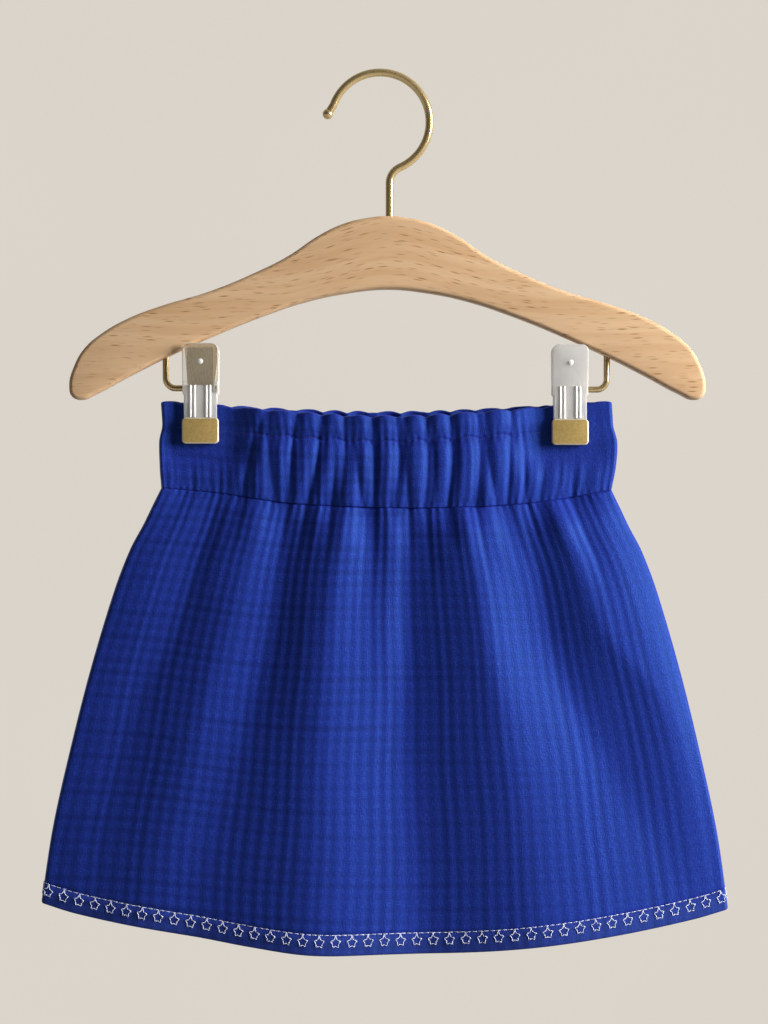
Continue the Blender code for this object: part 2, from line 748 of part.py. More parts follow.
def hook_route():
    """Points along the hook's wire, from its ball tip to the end of its stem."""
    middle_z = -(HOOK_RADIUS - HOOK_WIRE / 2)
    tip_x, tip_z = (HOOK_TIP_LENGTH * way for way in hook_tip_way())
    start_x, start_z = HOOK_RADIUS * cos(HOOK_STARTS), middle_z + HOOK_RADIUS * sin(HOOK_STARTS)
    route = [(start_x + tip_x, 0.0, start_z + tip_z)]
    for i in range(HOOK_ARC_STEPS + 1):
        angle = HOOK_STARTS + (HOOK_ENDS - HOOK_STARTS) * i / HOOK_ARC_STEPS
        route.append((HOOK_RADIUS * cos(angle), 0.0, middle_z + HOOK_RADIUS * sin(angle)))
    reach = HOOK_RADIUS + HOOK_BEND_RADIUS
    bend_x = reach * cos(HOOK_ENDS)
    bend_z = middle_z + reach * sin(HOOK_ENDS)
    for i in range(1, HOOK_BEND_STEPS + 1):
        angle = pi + HOOK_ENDS * (1.0 - i / HOOK_BEND_STEPS)
        x = bend_x + HOOK_BEND_RADIUS * cos(angle)
        route.append((x, 0.0, bend_z + HOOK_BEND_RADIUS * sin(angle)))
    stem_x = route[-1][0]
    route.append((stem_x, 0.0, ARM_TOP_Z - HOOK_STEM_IN_ARM))
    return route


def add_hook(material, collection):
    """The wire hook. Its first points swell into the ball at the tip."""
    route = hook_route()
    swell = [1.0] * len(route)
    start = route[0]
    ball_radius = HOOK_BALL * HOOK_WIRE / 2
    toward = hook_tip_way()
    first, last = HOOK_BALL_STARTS, pi - asin(1.0 / HOOK_BALL)
    ball = []
    for i in range(HOOK_BALL_STEPS):
        angle = first + (last - first) * i / (HOOK_BALL_STEPS - 1)
        back = ball_radius * cos(angle)
        place = (start[0] + toward[0] * back, 0.0, start[2] + toward[1] * back)
        ball.append((place, HOOK_BALL * sin(angle)))
    route = [place for place, _ in ball] + route[1:]
    swell = [share for _, share in ball] + swell[1:]
    return add_wire("hook", route, HOOK_WIRE, material, collection, swell)


def add_clip_wire(clip, material, collection):
    """The L-shaped wire: down out of the arm, round a bend and level through the clip."""
    x, z = clip.wire_x_mm * MM, clip.wire_z_mm * MM
    inward = 1.0 if clip.middle_x_mm > clip.wire_x_mm else -1.0
    route = [(x, 0.0, clip_wire_top(clip))]
    for i in range(CLIP_WIRE_BEND_STEPS + 1):
        angle = pi / 2 * i / CLIP_WIRE_BEND_STEPS
        across = CLIP_WIRE_BEND * (1.0 - cos(angle))
        down = CLIP_WIRE_BEND * (1.0 - sin(angle))
        route.append((x + inward * across, 0.0, z + down))
    route.append((clip.middle_x_mm * MM + inward * CLIP_WIRE_PAST_MIDDLE, 0.0, z))
    return add_wire(f"clip_wire_{clip.name}", route, CLIP_WIRE, material, collection)


def rounded(corners):
    """An outline whose corners (x, z, radius) are rounded. It runs anticlockwise or clockwise."""
    outline = []
    for i, (x, z, radius) in enumerate(corners):
        if not radius:
            outline.append((x, z))
            continue
        before, after = corners[i - 1], corners[(i + 1) % len(corners)]
        arms = []
        for other in (before, after):
            reach = hypot(other[0] - x, other[1] - z)
            arms.append(((other[0] - x) / reach * radius, (other[1] - z) / reach * radius))
        for k in range(CORNER_STEPS + 1):
            angle = pi / 2 * k / CORNER_STEPS
            first, second = 1.0 - sin(angle), 1.0 - cos(angle)
            outline.append(
                (
                    x + arms[0][0] * first + arms[1][0] * second,
                    z + arms[0][1] * first + arms[1][1] * second,
                )
            )
    return outline


def flare(mesh):
    """Bend a clip piece outwards, to -Y, above its pivot, as its handle stands open."""
    shape = bmesh.new()
    shape.from_mesh(mesh)
    bmesh.ops.bisect_plane(
        shape,
        geom=shape.verts[:] + shape.edges[:] + shape.faces[:],
        plane_co=(0.0, 0.0, JAW_FLARE_FROM),
        plane_no=(0.0, 0.0, 1.0),
        dist=WELD,
    )
    for vert in shape.verts:
        vert.co.y -= max(vert.co.z - JAW_FLARE_FROM, 0.0) * tan(JAW_FLARE)
    shape.to_mesh(mesh)
    shape.free()


def jaw_mesh(collection, cutters):
    """The front jaw, about the wire's axis: a flared plate, two cheeks round the wire and a pin."""
    half, low_half = JAW_WIDTH / 2, JAW_LOW_WIDTH / 2
    foot = PAD_TOP - JAW_IN_PAD
    corners = [
        (-half, JAW_TOP, JAW_CORNER),
        (-half, JAW_STEP_DOWN, 0.0),
        (-low_half, JAW_STEP_DOWN - (half - low_half), 0.0),
        (-low_half, foot, 0.0),
    ]
    corners += [(-x, z, radius) for x, z, radius in reversed(corners)]
    jaw = add_plate("jaw", "POLY", rounded(corners), JAW_THICK, 0.0, 0, collection)
    jaw.data.transform(shift_y(-JAW_INNER_Y - JAW_THICK / 2))
    flare(jaw.data)
    for sign in (-1, 1):
        across = sorted((sign * low_half, sign * (low_half - CHEEK_WIDTH)))
        cheek = add_box(
            "cheek",
            (across[0], -JAW_INNER_Y - CHEEK_SUNK, -CHEEK_HEIGHT / 2),
            (across[1], -CHEEK_INNER_Y, CHEEK_HEIGHT / 2),
            cutters,
        )
        work(jaw, cheek, "UNION")
    face = JAW_INNER_Y + JAW_THICK + (PIN_HEIGHT - JAW_FLARE_FROM) * tan(JAW_FLARE)
    pin = add_cylinder(
        "pin",
        PIN_RADIUS,
        (0.0, -face - PIN_PROUD, PIN_HEIGHT),
        (0.0, -face + PIN_SUNK, PIN_HEIGHT),
        cutters,
        sides=SMALL_BORE_SIDES,
    )
    work(jaw, pin, "UNION")
    bore = add_cylinder(
        "wire_bore",
        CLIP_WIRE / 2 + BORE_ROOM,
        (-half - CUTTER_OVERSHOOT, 0.0, 0.0),
        (half + CUTTER_OVERSHOOT, 0.0, 0.0),
        cutters,
    )
    work(jaw, bore, "DIFFERENCE")
    return take_mesh(jaw)


def pad_mesh(collection, cutters):
    """The front pad: a rounded block with a slot for the jaw's end."""
    half = PAD_WIDTH / 2
    foot = PAD_TOP - PAD_HEIGHT
    corners = [(-half, PAD_TOP), (-half, foot), (half, foot), (half, PAD_TOP)]
    outline = rounded([(x, z, PAD_CORNER) for x, z in corners])
    pad = add_plate("pad", "POLY", outline, PAD_THICK, PAD_EDGE, 0, collection)
    pad.data.transform(shift_y(-PAD_INNER_Y - PAD_THICK / 2))
    slot_half = JAW_LOW_WIDTH / 2 + PIECE_GAP
    slot = add_box(
        "pad_slot",
        (-slot_half, -JAW_INNER_Y - JAW_THICK - PIECE_GAP, PAD_TOP - JAW_IN_PAD - PIECE_GAP),
        (slot_half, -JAW_INNER_Y + PIECE_GAP, PAD_TOP + CUTTER_OVERSHOOT),
        cutters,
    )
    work(pad, slot, "DIFFERENCE")
    return take_mesh(pad)


def leaf_mesh(collection):
    """The front spring leaf: a broad head behind the handle and a tongue down to the pad."""
    half, tongue = LEAF_WIDTH / 2, LEAF_TONGUE / 2
    corners = [
        (-half, LEAF_TOP, LEAF_CORNER),
        (-half, LEAF_FOOT, LEAF_CORNER),
        (-tongue, LEAF_FOOT - LEAF_CORNER, 0.0),
        (-tongue, PAD_TOP + PIECE_GAP, 0.0),
    ]
    corners += [(-x, z, radius) for x, z, radius in reversed(corners)]
    leaf = add_plate("leaf", "POLY", rounded(corners), LEAF_THICK, 0.0, 0, collection)
    leaf.data.transform(shift_y(-LEAF_INNER_Y - LEAF_THICK / 2))
    flare(leaf.data)
    return take_mesh(leaf)


def shift_y(distance):
    """A move along Y."""
    return Matrix.Translation((0.0, distance, 0.0))


def take_mesh(obj):
    """The finished mesh of an object that is then removed, with the tools that cut it."""
    mesh = finished_mesh(obj)
    for tool in [modifier.object for modifier in obj.modifiers] + [obj]:
        bpy.data.objects.remove(tool)
    mesh.shade_smooth()
    mesh.set_sharp_from_angle(angle=HARD_EDGE)
    return mesh


def add_clips(clear, leaf_brass, pad_brass, collection, cutters):
    """Both clips: each piece once in front and, turned half round, once behind."""
    shapes = (
        ("jaw", jaw_mesh(collection, cutters), clear),
        ("leaf", leaf_mesh(collection), leaf_brass),
        ("pad", pad_mesh(collection, cutters), pad_brass),
    )
    for clip in CLIPS:
        for shape, mesh, material in shapes:
            for where, turn in (("front", 0.0), ("back", pi)):
                name = f"clip_{clip.name}_{shape}_{where}"
                piece = add_object(name, mesh, material, collection)
                piece.location = (clip.middle_x_mm * MM, 0.0, clip.wire_z_mm * MM)
                piece.rotation_euler = (0.0, 0.0, turn)


def main():
    clear_scene()
    pieces = new_collection("gauze_skirt_on_clip_hanger")
    cutters = new_collection("cutters")
    gauze = new_material("royal_blue_double_gauze", (0.012, 0.052, 0.36), 0.9)
    beech = new_material("beech", (0.66, 0.42, 0.22), 0.5)
    brass = new_material("brass_wire", (0.62, 0.47, 0.22), 0.3, metallic=1.0)
    leaf_brass = new_material("spring_leaf_brass", (0.45, 0.38, 0.22), 0.4, metallic=1.0)
    pad_brass = new_material("pad_brass", (0.55, 0.46, 0.22), 0.45, metallic=1.0)
    clear = new_material("clear_plastic", (0.93, 0.94, 0.95), 0.1, alpha=0.35)

    for side, word in ((FRONT, "front"), (BACK, "back")):
        add_panel(f"skirt_{word}", side, gauze, pieces)
        add_band(f"waistband_{word}", side, gauze, pieces)
        add_hem(f"hem_{word}", side, gauze, pieces)
    add_hanger_arm(beech, pieces, cutters)
    add_hook(brass, pieces)
    for clip in CLIPS:
        add_clip_wire(clip, brass, pieces)
    add_clips(clear, leaf_brass, pad_brass, pieces, cutters)


main()
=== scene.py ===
# %% [markdown]
# # A toddler's gauze skirt on a clip hanger
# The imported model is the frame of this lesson: its solids say where every piece of the skirt and the
# hanger is, in metres, with +Z up and the front of the skirt towards -Y. Each step below makes the
# fine surface of one piece around its solid and gives it the finish of the real material.

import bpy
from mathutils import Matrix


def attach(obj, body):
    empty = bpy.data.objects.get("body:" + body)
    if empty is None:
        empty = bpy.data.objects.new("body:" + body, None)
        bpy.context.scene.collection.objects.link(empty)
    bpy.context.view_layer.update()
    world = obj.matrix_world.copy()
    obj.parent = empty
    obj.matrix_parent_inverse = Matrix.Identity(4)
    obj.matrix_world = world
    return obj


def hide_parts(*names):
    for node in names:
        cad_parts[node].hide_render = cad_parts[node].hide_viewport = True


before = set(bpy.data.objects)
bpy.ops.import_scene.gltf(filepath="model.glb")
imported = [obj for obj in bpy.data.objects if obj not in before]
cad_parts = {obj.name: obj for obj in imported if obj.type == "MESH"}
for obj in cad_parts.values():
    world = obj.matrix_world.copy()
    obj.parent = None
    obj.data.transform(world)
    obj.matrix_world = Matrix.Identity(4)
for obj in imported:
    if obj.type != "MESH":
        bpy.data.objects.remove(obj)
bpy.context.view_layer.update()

# %% [markdown]
# ## Small helpers
# The cloth is worked out on whole grids of points at once, so numpy does the sums. Lengths are metres,
# and `MM` turns a millimetre into one. One function adds a node to a tree, with its settings and its
# links, and one turns the hex colours that people write into the linear light that a shader wants.

# %% Imports and helpers
from collections import namedtuple
from contextlib import contextmanager
from math import asin, cos, hypot, pi, radians, sin, tan

import bmesh
import bpy
import numpy as np
from mathutils import Matrix, Vector

MM = 0.001
FRONT, BACK = -1, 1
SIDE_NAMES = ((FRONT, "front"), (BACK, "back"))
BODY = "root"
scene = bpy.context.scene


def linear(hex_colour):
    """Linear red, green, blue and alpha of an sRGB hex colour."""
    shares = [int(hex_colour[i : i + 2], 16) / 255 for i in (1, 3, 5)]
    light = [s / 12.92 if s <= 0.04045 else ((s + 0.055) / 1.055) ** 2.4 for s in shares]
    return (*light, 1.0)


def set_inputs(tree, node, inputs):
    """Give each input of a node its number or colour, or link it from a socket."""
    for name, value in inputs.items():
        if isinstance(value, bpy.types.NodeSocket):
            tree.links.new(value, node.inputs[name])
        else:
            node.inputs[name].default_value = value


def put(tree, kind, inputs=None, **settings):
    """Add a node to a tree and give back its outputs."""
    node = tree.nodes.new(kind)
    for name, value in settings.items():
        setattr(node, name, value)
    set_inputs(tree, node, inputs or {})
    return node.outputs


def new_material(name):
    """A new material, its tree and the Principled shader in it."""
    material = bpy.data.materials.new(name)
    material.use_nodes = True
    return material, material.node_tree, material.node_tree.nodes["Principled BSDF"]


def add_object(name, data):
    """A new object in the scene."""
    obj = bpy.data.objects.new(name, data)
    scene.collection.objects.link(obj)
    return obj


def soft_step(value, start, end):
    """0 at start and 1 at end, with a soft S between them."""
    share = np.clip((value - start) / (end - start), 0.0, 1.0)
    return share * share * (3.0 - 2.0 * share)


def bump(distance, reach):
    """A round bump, 1 at distance 0."""
    return np.exp(-((distance / reach) ** 2))


def curve_through(places, values, at):
    """Heights at many places on a smooth curve through the values, level past both ends."""
    places, values = np.asarray(places, float), np.asarray(values, float)
    at = np.clip(at, places[0], places[-1])
    i = np.clip(np.searchsorted(places, at, side="right") - 1, 0, len(places) - 2)
    before = np.maximum(np.arange(len(places)) - 1, 0)
    after = np.minimum(np.arange(len(places)) + 1, len(places) - 1)
    slopes = (values[after] - values[before]) / (places[after] - places[before])
    width = places[i + 1] - places[i]
    share = (at - places[i]) / width
    square, cube = share**2, share**3
    return (
        values[i] * (2 * cube - 3 * square + 1)
        + slopes[i] * width * (cube - 2 * square + share)
        + values[i + 1] * (3 * square - 2 * cube)
        + slopes[i + 1] * width * (cube - square)
    )


def table(columns, *rows):
    """Rows with named columns. A name that ends in _mm holds millimetres."""
    row_kind = namedtuple("Row", columns)
    return [row_kind(*row) for row in rows]


def column(rows, name):
    """One column of a table. A column in millimetres comes back in metres."""
    unit = MM if name.endswith("_mm") else 1.0
    return np.array([getattr(row, name) * unit for row in rows])


def read_off(rows, places, values, at):
    """Values read off a table at many places, along the smooth curve through its rows."""
    return curve_through(column(rows, places), column(rows, values), at)


print("helpers ready")

# %% [markdown]
# ## The camera
# The picture was taken straight on, from the front, with a long lens. One pixel of it is 0.4724 mm in
# the plane of the hanger, which gives the lens for a camera that stands 1.7 m away.

# %% Camera
PHOTO_WIDTH, PHOTO_HEIGHT = 768, 1024
METRES_PER_PIXEL = 0.4724 * MM
ORIGIN_PIXEL = (380.0, 76.5)
CAMERA_DISTANCE = 1.7
SENSOR = 36.0

camera_data = bpy.data.cameras.new("camera")
camera_data.sensor_width = SENSOR
camera_data.lens = SENSOR * CAMERA_DISTANCE / (PHOTO_HEIGHT * METRES_PER_PIXEL)
camera = add_object("camera", camera_data)
camera.location = (
    (PHOTO_WIDTH / 2 - ORIGIN_PIXEL[0]) * METRES_PER_PIXEL,
    -CAMERA_DISTANCE,
    (ORIGIN_PIXEL[1] - PHOTO_HEIGHT / 2) * METRES_PER_PIXEL,
)
camera.rotation_euler = (pi / 2, 0.0, 0.0)
scene.camera = camera
scene.view_settings.view_transform = "Standard"
print("lens", round(camera_data.lens, 1), "mm")

# %% [markdown]
# ## Light and room
# Soft light falls from the right, a little from above, as from a large window, so each fold is light
# on its right and dark on its left. The room gives a weak fill that is brighter on the right and behind
# than in front: that is what lets the brass wire show a dark core between two bright lines.

# %% Lights
KEY_AZIMUTH = radians(69)
KEY_HEIGHT = radians(15)
KEY_DISTANCE = 1.9
KEY_SIZE = 0.9
KEY_POWER = 71.5
LOOK_AT = Vector((0.0, 0.0, -0.26))

window = bpy.data.lights.new("window", "AREA")
window.size = KEY_SIZE
window.energy = KEY_POWER
window.color = linear("#fffaf2")[:3]
level = cos(KEY_HEIGHT)
way = Vector((sin(KEY_AZIMUTH) * level, -cos(KEY_AZIMUTH) * level, sin(KEY_HEIGHT)))
lamp = add_object("window", window)
lamp.location = LOOK_AT + way * KEY_DISTANCE
lamp.rotation_euler = (-way).to_track_quat("-Z", "Y").to_euler()

RIGHT_OF_LEFT = {"From Min": -0.9, "From Max": 0.9, "To Min": 0.6, "To Max": 0.8}
BEHIND_OF_FRONT = {"From Min": -0.9, "From Max": 0.7, "To Min": 0.05, "To Max": 0.75}
world = bpy.data.worlds.new("studio")
scene.world = world
world.use_nodes = True
sky = world.node_tree
sky.nodes.clear()
split = put(sky, "ShaderNodeSeparateXYZ", {0: put(sky, "ShaderNodeTexCoord")["Generated"]})
side_light = put(sky, "ShaderNodeMapRange", {"Value": split["X"], **RIGHT_OF_LEFT})[0]
back_light = put(sky, "ShaderNodeMapRange", {"Value": split["Y"], **BEHIND_OF_FRONT})[0]
both = put(sky, "ShaderNodeMath", {0: side_light, 1: back_light}, operation="MULTIPLY")[0]
room = put(sky, "ShaderNodeBackground", {"Color": linear("#f4f1ea"), "Strength": both})[0]
seen = put(sky, "ShaderNodeBackground", {"Color": linear("#dad7cf"), "Strength": 1.0})[0]
seen_by_camera = put(sky, "ShaderNodeLightPath")["Is Camera Ray"]
chosen = put(sky, "ShaderNodeMixShader", {0: seen_by_camera, 1: room, 2: seen})[0]
put(sky, "ShaderNodeOutputWorld", {"Surface": chosen})
print("one window light of", KEY_POWER, "W and a graded room")

# %% [markdown]
# A pale wall hangs far behind and a pale floor lies far below, both marked as stage. Both glow by
# themselves, so that they stay as even as the backdrop in the picture, whatever the window does.

# %% Stage
WALL_Y = 3.3
FLOOR_Z = -1.3
STAGE_HALF = 9.0
PAINT_IN_LIGHT = "#6e6c68"


def stage_plane(name, corners, colour, cloud_colour, glow):
    """A flat piece of the stage, in pale paint with faint clouds."""
    material, tree, shader = new_material(name + "_pale_matt_paint")
    spot = put(tree, "ShaderNodeTexCoord")["Object"]
    cloud = put(tree, "ShaderNodeTexNoise", {"Vector": spot, "Scale": 0.9, "Detail": 3.0})["Fac"]
    tones = {0: cloud, 6: linear(colour), 7: linear(cloud_colour)}
    tone = put(tree, "ShaderNodeMix", tones, data_type="RGBA")[2]
    glowing = {"Emission Color": tone, "Emission Strength": glow}
    set_inputs(tree, shader, {"Base Color": linear(PAINT_IN_LIGHT), "Roughness": 0.95, **glowing})
    mesh = bpy.data.meshes.new(name)
    mesh.from_pydata(corners, [], [range(len(corners))])
    mesh.materials.append(material)
    plane = add_object(name, mesh)
    return plane


h = STAGE_HALF
wall_corners = [(-h, WALL_Y, FLOOR_Z), (h, WALL_Y, FLOOR_Z), (h, WALL_Y, h), (-h, WALL_Y, h)]
floor_corners = [(-h, -h, FLOOR_Z), (h, -h, FLOOR_Z), (h, WALL_Y, FLOOR_Z), (-h, WALL_Y, FLOOR_Z)]
stage_plane("wall", wall_corners, "#d8d2c9", "#e0dad1", 0.9)
floor = stage_plane("floor", floor_corners, "#d8d2c9", "#dfd9d0", 0.8)
floor.visible_diffuse = False
print("wall", WALL_Y, "m behind, floor", -FLOOR_Z, "m below the hook")

# %% [markdown]
# ## The form of the skirt
# These are nearly the sizes that the solids have: the skirt is a flattened tube that flares to its hem
# and hangs in a few broad folds. They are kept here as tables, so that the fine surface follows the
# same form and only adds what cloth does at a smaller scale: sides that are a little fuller, a band
# that sags between the clips, and a hem that hangs in an uneven curve.

# %% Sizes of the skirt
SKIRT_MIDDLE_X = 3.0 * MM
SKIRT_LEAN = -0.8 * MM
GAUZE_WALL = 1.2 * MM
BAND_WALL = 2.2 * MM
HEM_WALL = 2.0 * MM
HEM_PROUD = 0.5 * MM
HEM_DEEP = 9.8 * MM
HEM_DEPTH = 24.0 * MM
HEM_MIDDLE_Z = -411.2 * MM
HEM_SIDE_RISE = 18.6 * MM
EDGE_OF_DEPTH = 0.42
EDGE_TURN = 0.9 * MM
FLARE_OF_DEPTH = 0.75
SIDE_TURN = 1.6 * MM
SEAM_RECESS = 0.5 * MM
SIDE_INSET_GROWS = 3.0
BAND_TOP_Z = -158.2 * MM
BAND_TOP_SIDE_RISE = 5.2 * MM
BAND_TOP_CURVE = 1.6
BAND_LEAN = 0.9 * MM
BACK_STANDS_UP = 0.4 * MM
BACK_STANDS_UP_REACH = 80.0 * MM
FRONT_SAGS = 2.0 * MM
FRONT_SAGS_REACH = 66.0 * MM
SIDE_GAP = 0.04 * MM

SIDES = table(
    "down_mm half_width_mm",
    (0, 106.3),
    (9, 110.7),
    (17, 114.5),
    (29, 120.8),
    (48, 128.0),
    (86, 139.2),
    (124, 148.6),
    (161, 156.6),
    (197, 161.9),
)
WAIST_SEAM = table(
    "from_middle_mm z_mm",
    (-107, -194.4),
    (-79, -196.8),
    (-48, -201.3),
    (-8, -203.5),
    (38, -203.4),
    (72, -201.0),
    (92, -198.0),
    (107, -195.2),
)
HEM_HANG = table(
    "x_share lift_mm",
    (-1.0, 3.2),
    (-0.9, 2.0),
    (-0.55, 1.3),
    (-0.4, -0.2),
    (-0.22, -1.9),
    (0.0, -1.1),
    (0.35, -1.3),
    (0.9, -0.7),
    (1.0, 0.2),
)
BAND_SHAPE = table(
    "down half_width_mm swell_mm crease",
    (0.0, 106.5, 0.3, 0.7),
    (0.14, 106.5, 0.6, 0.62),
    (0.27, 106.6, 0.0, 0.6),
    (0.45, 108.2, 1.2, 0.76),
    (0.75, 107.7, 1.4, 0.76),
    (1.0, 106.3, 0.0, 0.6),
)
BAND_DEPTHS = table(
    "from_middle_mm depth_mm",
    (-108, 5.2),
    (-98, 4.7),
    (-87, 4.6),
    (-66, 5.8),
    (-40, 7.1),
    (0, 7.8),
    (40, 7.2),
    (66, 5.2),
    (87, 3.7),
    (98, 2.9),
    (108, 1.6),
)
HALF_SEAM = SIDES[0].half_width_mm * MM


def skirt_half_width(down):
    """Half the skirt's width: down is 0 at the waist seam and 1 at the hem."""
    places = column(SIDES, "down_mm") / (SIDES[-1].down_mm * MM)
    return curve_through(places, column(SIDES, "half_width_mm"), down)


def waist_seam_z(from_middle):
    """Height of the seam between waistband and skirt."""
    return read_off(WAIST_SEAM, "from_middle_mm", "z_mm", from_middle)


def hem_z(x_share):
    """Height of the lower edge, which hangs lowest a little left of the middle."""
    lift = read_off(HEM_HANG, "x_share", "lift_mm", x_share)
    return HEM_MIDDLE_Z + HEM_SIDE_RISE * x_share**2 + lift


def side_turn(from_edge, reach):
    """Depth share where the cloth turns round its edge: 0 at the edge, 1 past the turn."""
    inward = np.clip(from_edge / reach, 0.0, 1.0)
    return np.sqrt(1.0 - (1.0 - inward) ** 2)


def lens(x_share):
    """Depth share of the hanging tube across its width: 1 in the middle, 0 at the sides."""
    vault = EDGE_OF_DEPTH + (1.0 - EDGE_OF_DEPTH) * (1.0 - x_share**2)
    return vault * side_turn((1.0 - np.abs(x_share)) * HALF_SEAM, EDGE_TURN)


def open_band_depth(from_middle):
    """How far the waistband stands from the middle plane where no clip presses it."""
    return read_off(BAND_DEPTHS, "from_middle_mm", "depth_mm", from_middle)


print("waist", 2 * HALF_SEAM, "m wide, hem", 2 * SIDES[-1].half_width_mm * MM, "m wide")

# %% [markdown]
# ## Creases of the waistband
# Elastic inside the casing draws the cloth together. Between two creases the cloth puffs out round,
# and the crease itself is sharp, so a crease is drawn as a narrow V with slopes that ease off. The
# table says where each one runs at the top edge, half-way down and at the seam, and how deep it is
# there. The last column is how far it still runs down the skirt. The lighter and darker flanks that
# this gives are what makes the band look gathered.

# %% Crease table
CREASES = table(
    "top_mm middle_mm seam_mm top_deep_mm middle_deep_mm seam_deep_mm tail_mm",
    (-98.4, -98.2, -97.0, 0.8, 1.0, 0.9, 34),
    (-93.5, -92.8, -91.9, 0.0, 0.6, 1.1, 28),
    (-83.8, -83.3, -84.0, 0.0, 0.8, 0.9, 30),
    (-79.5, -79.2, -78.6, 2.0, 1.4, 1.0, 26),
    (-71.5, -74.2, -73.9, 1.6, 0.9, 0.9, 20),
    (-57.0, -64.4, -68.2, 0.8, 2.0, 1.6, 30),
    (-55.0, -56.0, -53.0, 1.2, 1.4, 1.5, 30),
    (-42.2, -45.5, -46.5, 1.9, 2.0, 2.1, 38),
    (-30.4, -33.0, -37.4, 2.3, 2.2, 2.2, 34),
    (-20.0, -20.2, -22.0, 2.2, 1.9, 0.0, 0),
    (-24.5, -24.7, -26.0, 0.0, 1.0, 2.0, 34),
    (-16.2, -15.3, -11.5, 0.9, 1.1, 1.8, 24),
    (-6.8, -6.8, -6.3, 2.6, 2.6, 2.2, 50),
    (4.4, 5.0, 3.4, 1.6, 2.3, 0.9, 14),
    (8.4, 8.0, 10.6, 1.7, 0.8, 2.1, 34),
    (18.7, 18.9, 18.4, 2.7, 2.1, 2.2, 40),
    (22.0, 21.8, 23.4, 0.0, 1.0, 1.0, 26),
    (30.0, 30.4, 28.6, 2.6, 2.5, 2.3, 28),
    (42.6, 43.0, 42.3, 1.8, 2.2, 1.8, 42),
    (46.4, 46.8, 51.8, 1.6, 1.4, 1.6, 30),
    (58.6, 57.4, 57.0, 2.3, 1.7, 1.7, 34),
    (63.0, 63.6, 65.6, 0.6, 1.5, 1.9, 30),
    (73.5, 74.4, 72.1, 2.0, 2.2, 2.1, 34),
    (80.0, 81.2, 82.0, 0.0, 0.6, 1.2, 30),
    (87.0, 87.2, 87.2, 0.0, 1.0, 3.4, 56),
    (94.8, 94.8, 93.2, 2.0, 1.5, 1.8, 30),
)
CREASE_STOPS = (0.0, 0.45, 1.0)
CREASE_REACH = 5.2 * MM
CREASE_TIP = 0.55 * MM
TAIL_REACH = 7.0 * MM
TAIL_TIP = 1.5 * MM
TAIL_WIDENS = 0.05
PUFF = 2.0 * MM
BELOW_SEAM = 0.9


def valley(apart, reach, tip):
    """Cross-section of a crease: 1 at its bottom, easing to 0 at its reach."""
    away = np.sqrt(apart**2 + tip**2) - tip
    return np.maximum(1.0 - away / reach, 0.0) ** 2


def crease_depth(from_middle, down, side):
    """How deep the creases lie: down is 0 at the top edge and 1 at the seam."""
    deep = 0.0
    for row in CREASES:
        places = np.array((row.top_mm, row.middle_mm, row.seam_mm)) * MM
        depths = np.array((row.top_deep_mm, row.middle_deep_mm, row.seam_deep_mm)) * MM
        apart = from_middle * -side - curve_through(CREASE_STOPS, places, down)
        here = curve_through(CREASE_STOPS, depths, down)
        deep = deep + here * valley(apart, CREASE_REACH, CREASE_TIP)
    return deep


def crease_tails(at_seam, below, side):
    """How deep the creases still lie in the skirt, at a distance below the seam."""
    deep = 0.0
    for row in CREASES:
        if not row.tail_mm:
            continue
        apart = at_seam * -side - row.seam_mm * MM
        left = 1.0 - soft_step(below, 0.0, row.tail_mm * MM)
        reach = TAIL_REACH + TAIL_WIDENS * below
        deep = deep + row.seam_deep_mm * MM * left * valley(apart, reach, TAIL_TIP)
    return deep * BELOW_SEAM


print(len(CREASES), "creases on each side of the band")

# %% [markdown]
# ## Folds of the skirt
# Below the band the cloth falls in broad folds that drift sideways on their way down. The cloth runs
# nearly straight from one crest to the next valley and bends at each of them, so a row of the tables is
# one such bend: its place at four heights, as a share of the width, how far it stands out or lies back
# there, and how round it is at the top and at the hem. The back hangs in folds of its own.

# %% Fold tables
FRONT_FOLDS = table(
    "places heights_mm round_top_mm round_hem_mm",
    ((0.060, 0.060, 0.046, 0.045), (0.8, 0.9, 0.3, 0.0), 4.0, 8),
    ((0.140, 0.131, 0.092, 0.075), (-1.4, -1.6, -1.6, -0.6), 2.5, 8),
    ((0.171, 0.174, 0.150, 0.110), (0.9, 0.6, 0.4, 0.2), 2.5, 10),
    ((0.232, 0.215, 0.196, 0.140), (1.6, 1.6, 2.2, 1.2), 3.0, 12),
    ((0.291, 0.295, 0.275, 0.220), (-2.4, -3.0, -2.8, -2.2), 3.0, 13),
    ((0.355, 0.356, 0.341, 0.330), (1.6, 2.6, 2.2, 1.8), 3.0, 12),
    ((0.402, 0.397, 0.394, 0.392), (4.2, 4.6, 5.0, 5.8), 3.0, 14),
    ((0.455, 0.470, 0.470, 0.470), (0.2, -0.6, -1.1, -0.2), 2.0, 10),
    ((0.515, 0.505, 0.510, 0.510), (-0.2, -1.6, -4.2, -3.2), 2.0, 10),
    ((0.541, 0.538, 0.534, 0.552), (-2.4, -5.2, -6.2, -6.8), 3.0, 10),
    ((0.676, 0.681, 0.697, 0.720), (5.2, 4.8, 4.8, 4.2), 3.0, 13),
    ((0.757, 0.752, 0.780, 0.885), (0.8, -1.6, -0.8, 0.4), 3.0, 10),
    ((0.800, 0.794, 0.822, 0.960), (0.0, -3.6, -4.6, -0.6), 3.0, 12),
    ((0.868, 0.889, 0.960, 0.988), (5.4, 4.2, 3.2, 0.2), 3.0, 8),
    ((0.950, 0.955, 0.982, 0.992), (2.8, 3.2, 1.6, 0.1), 3.0, 4),
)
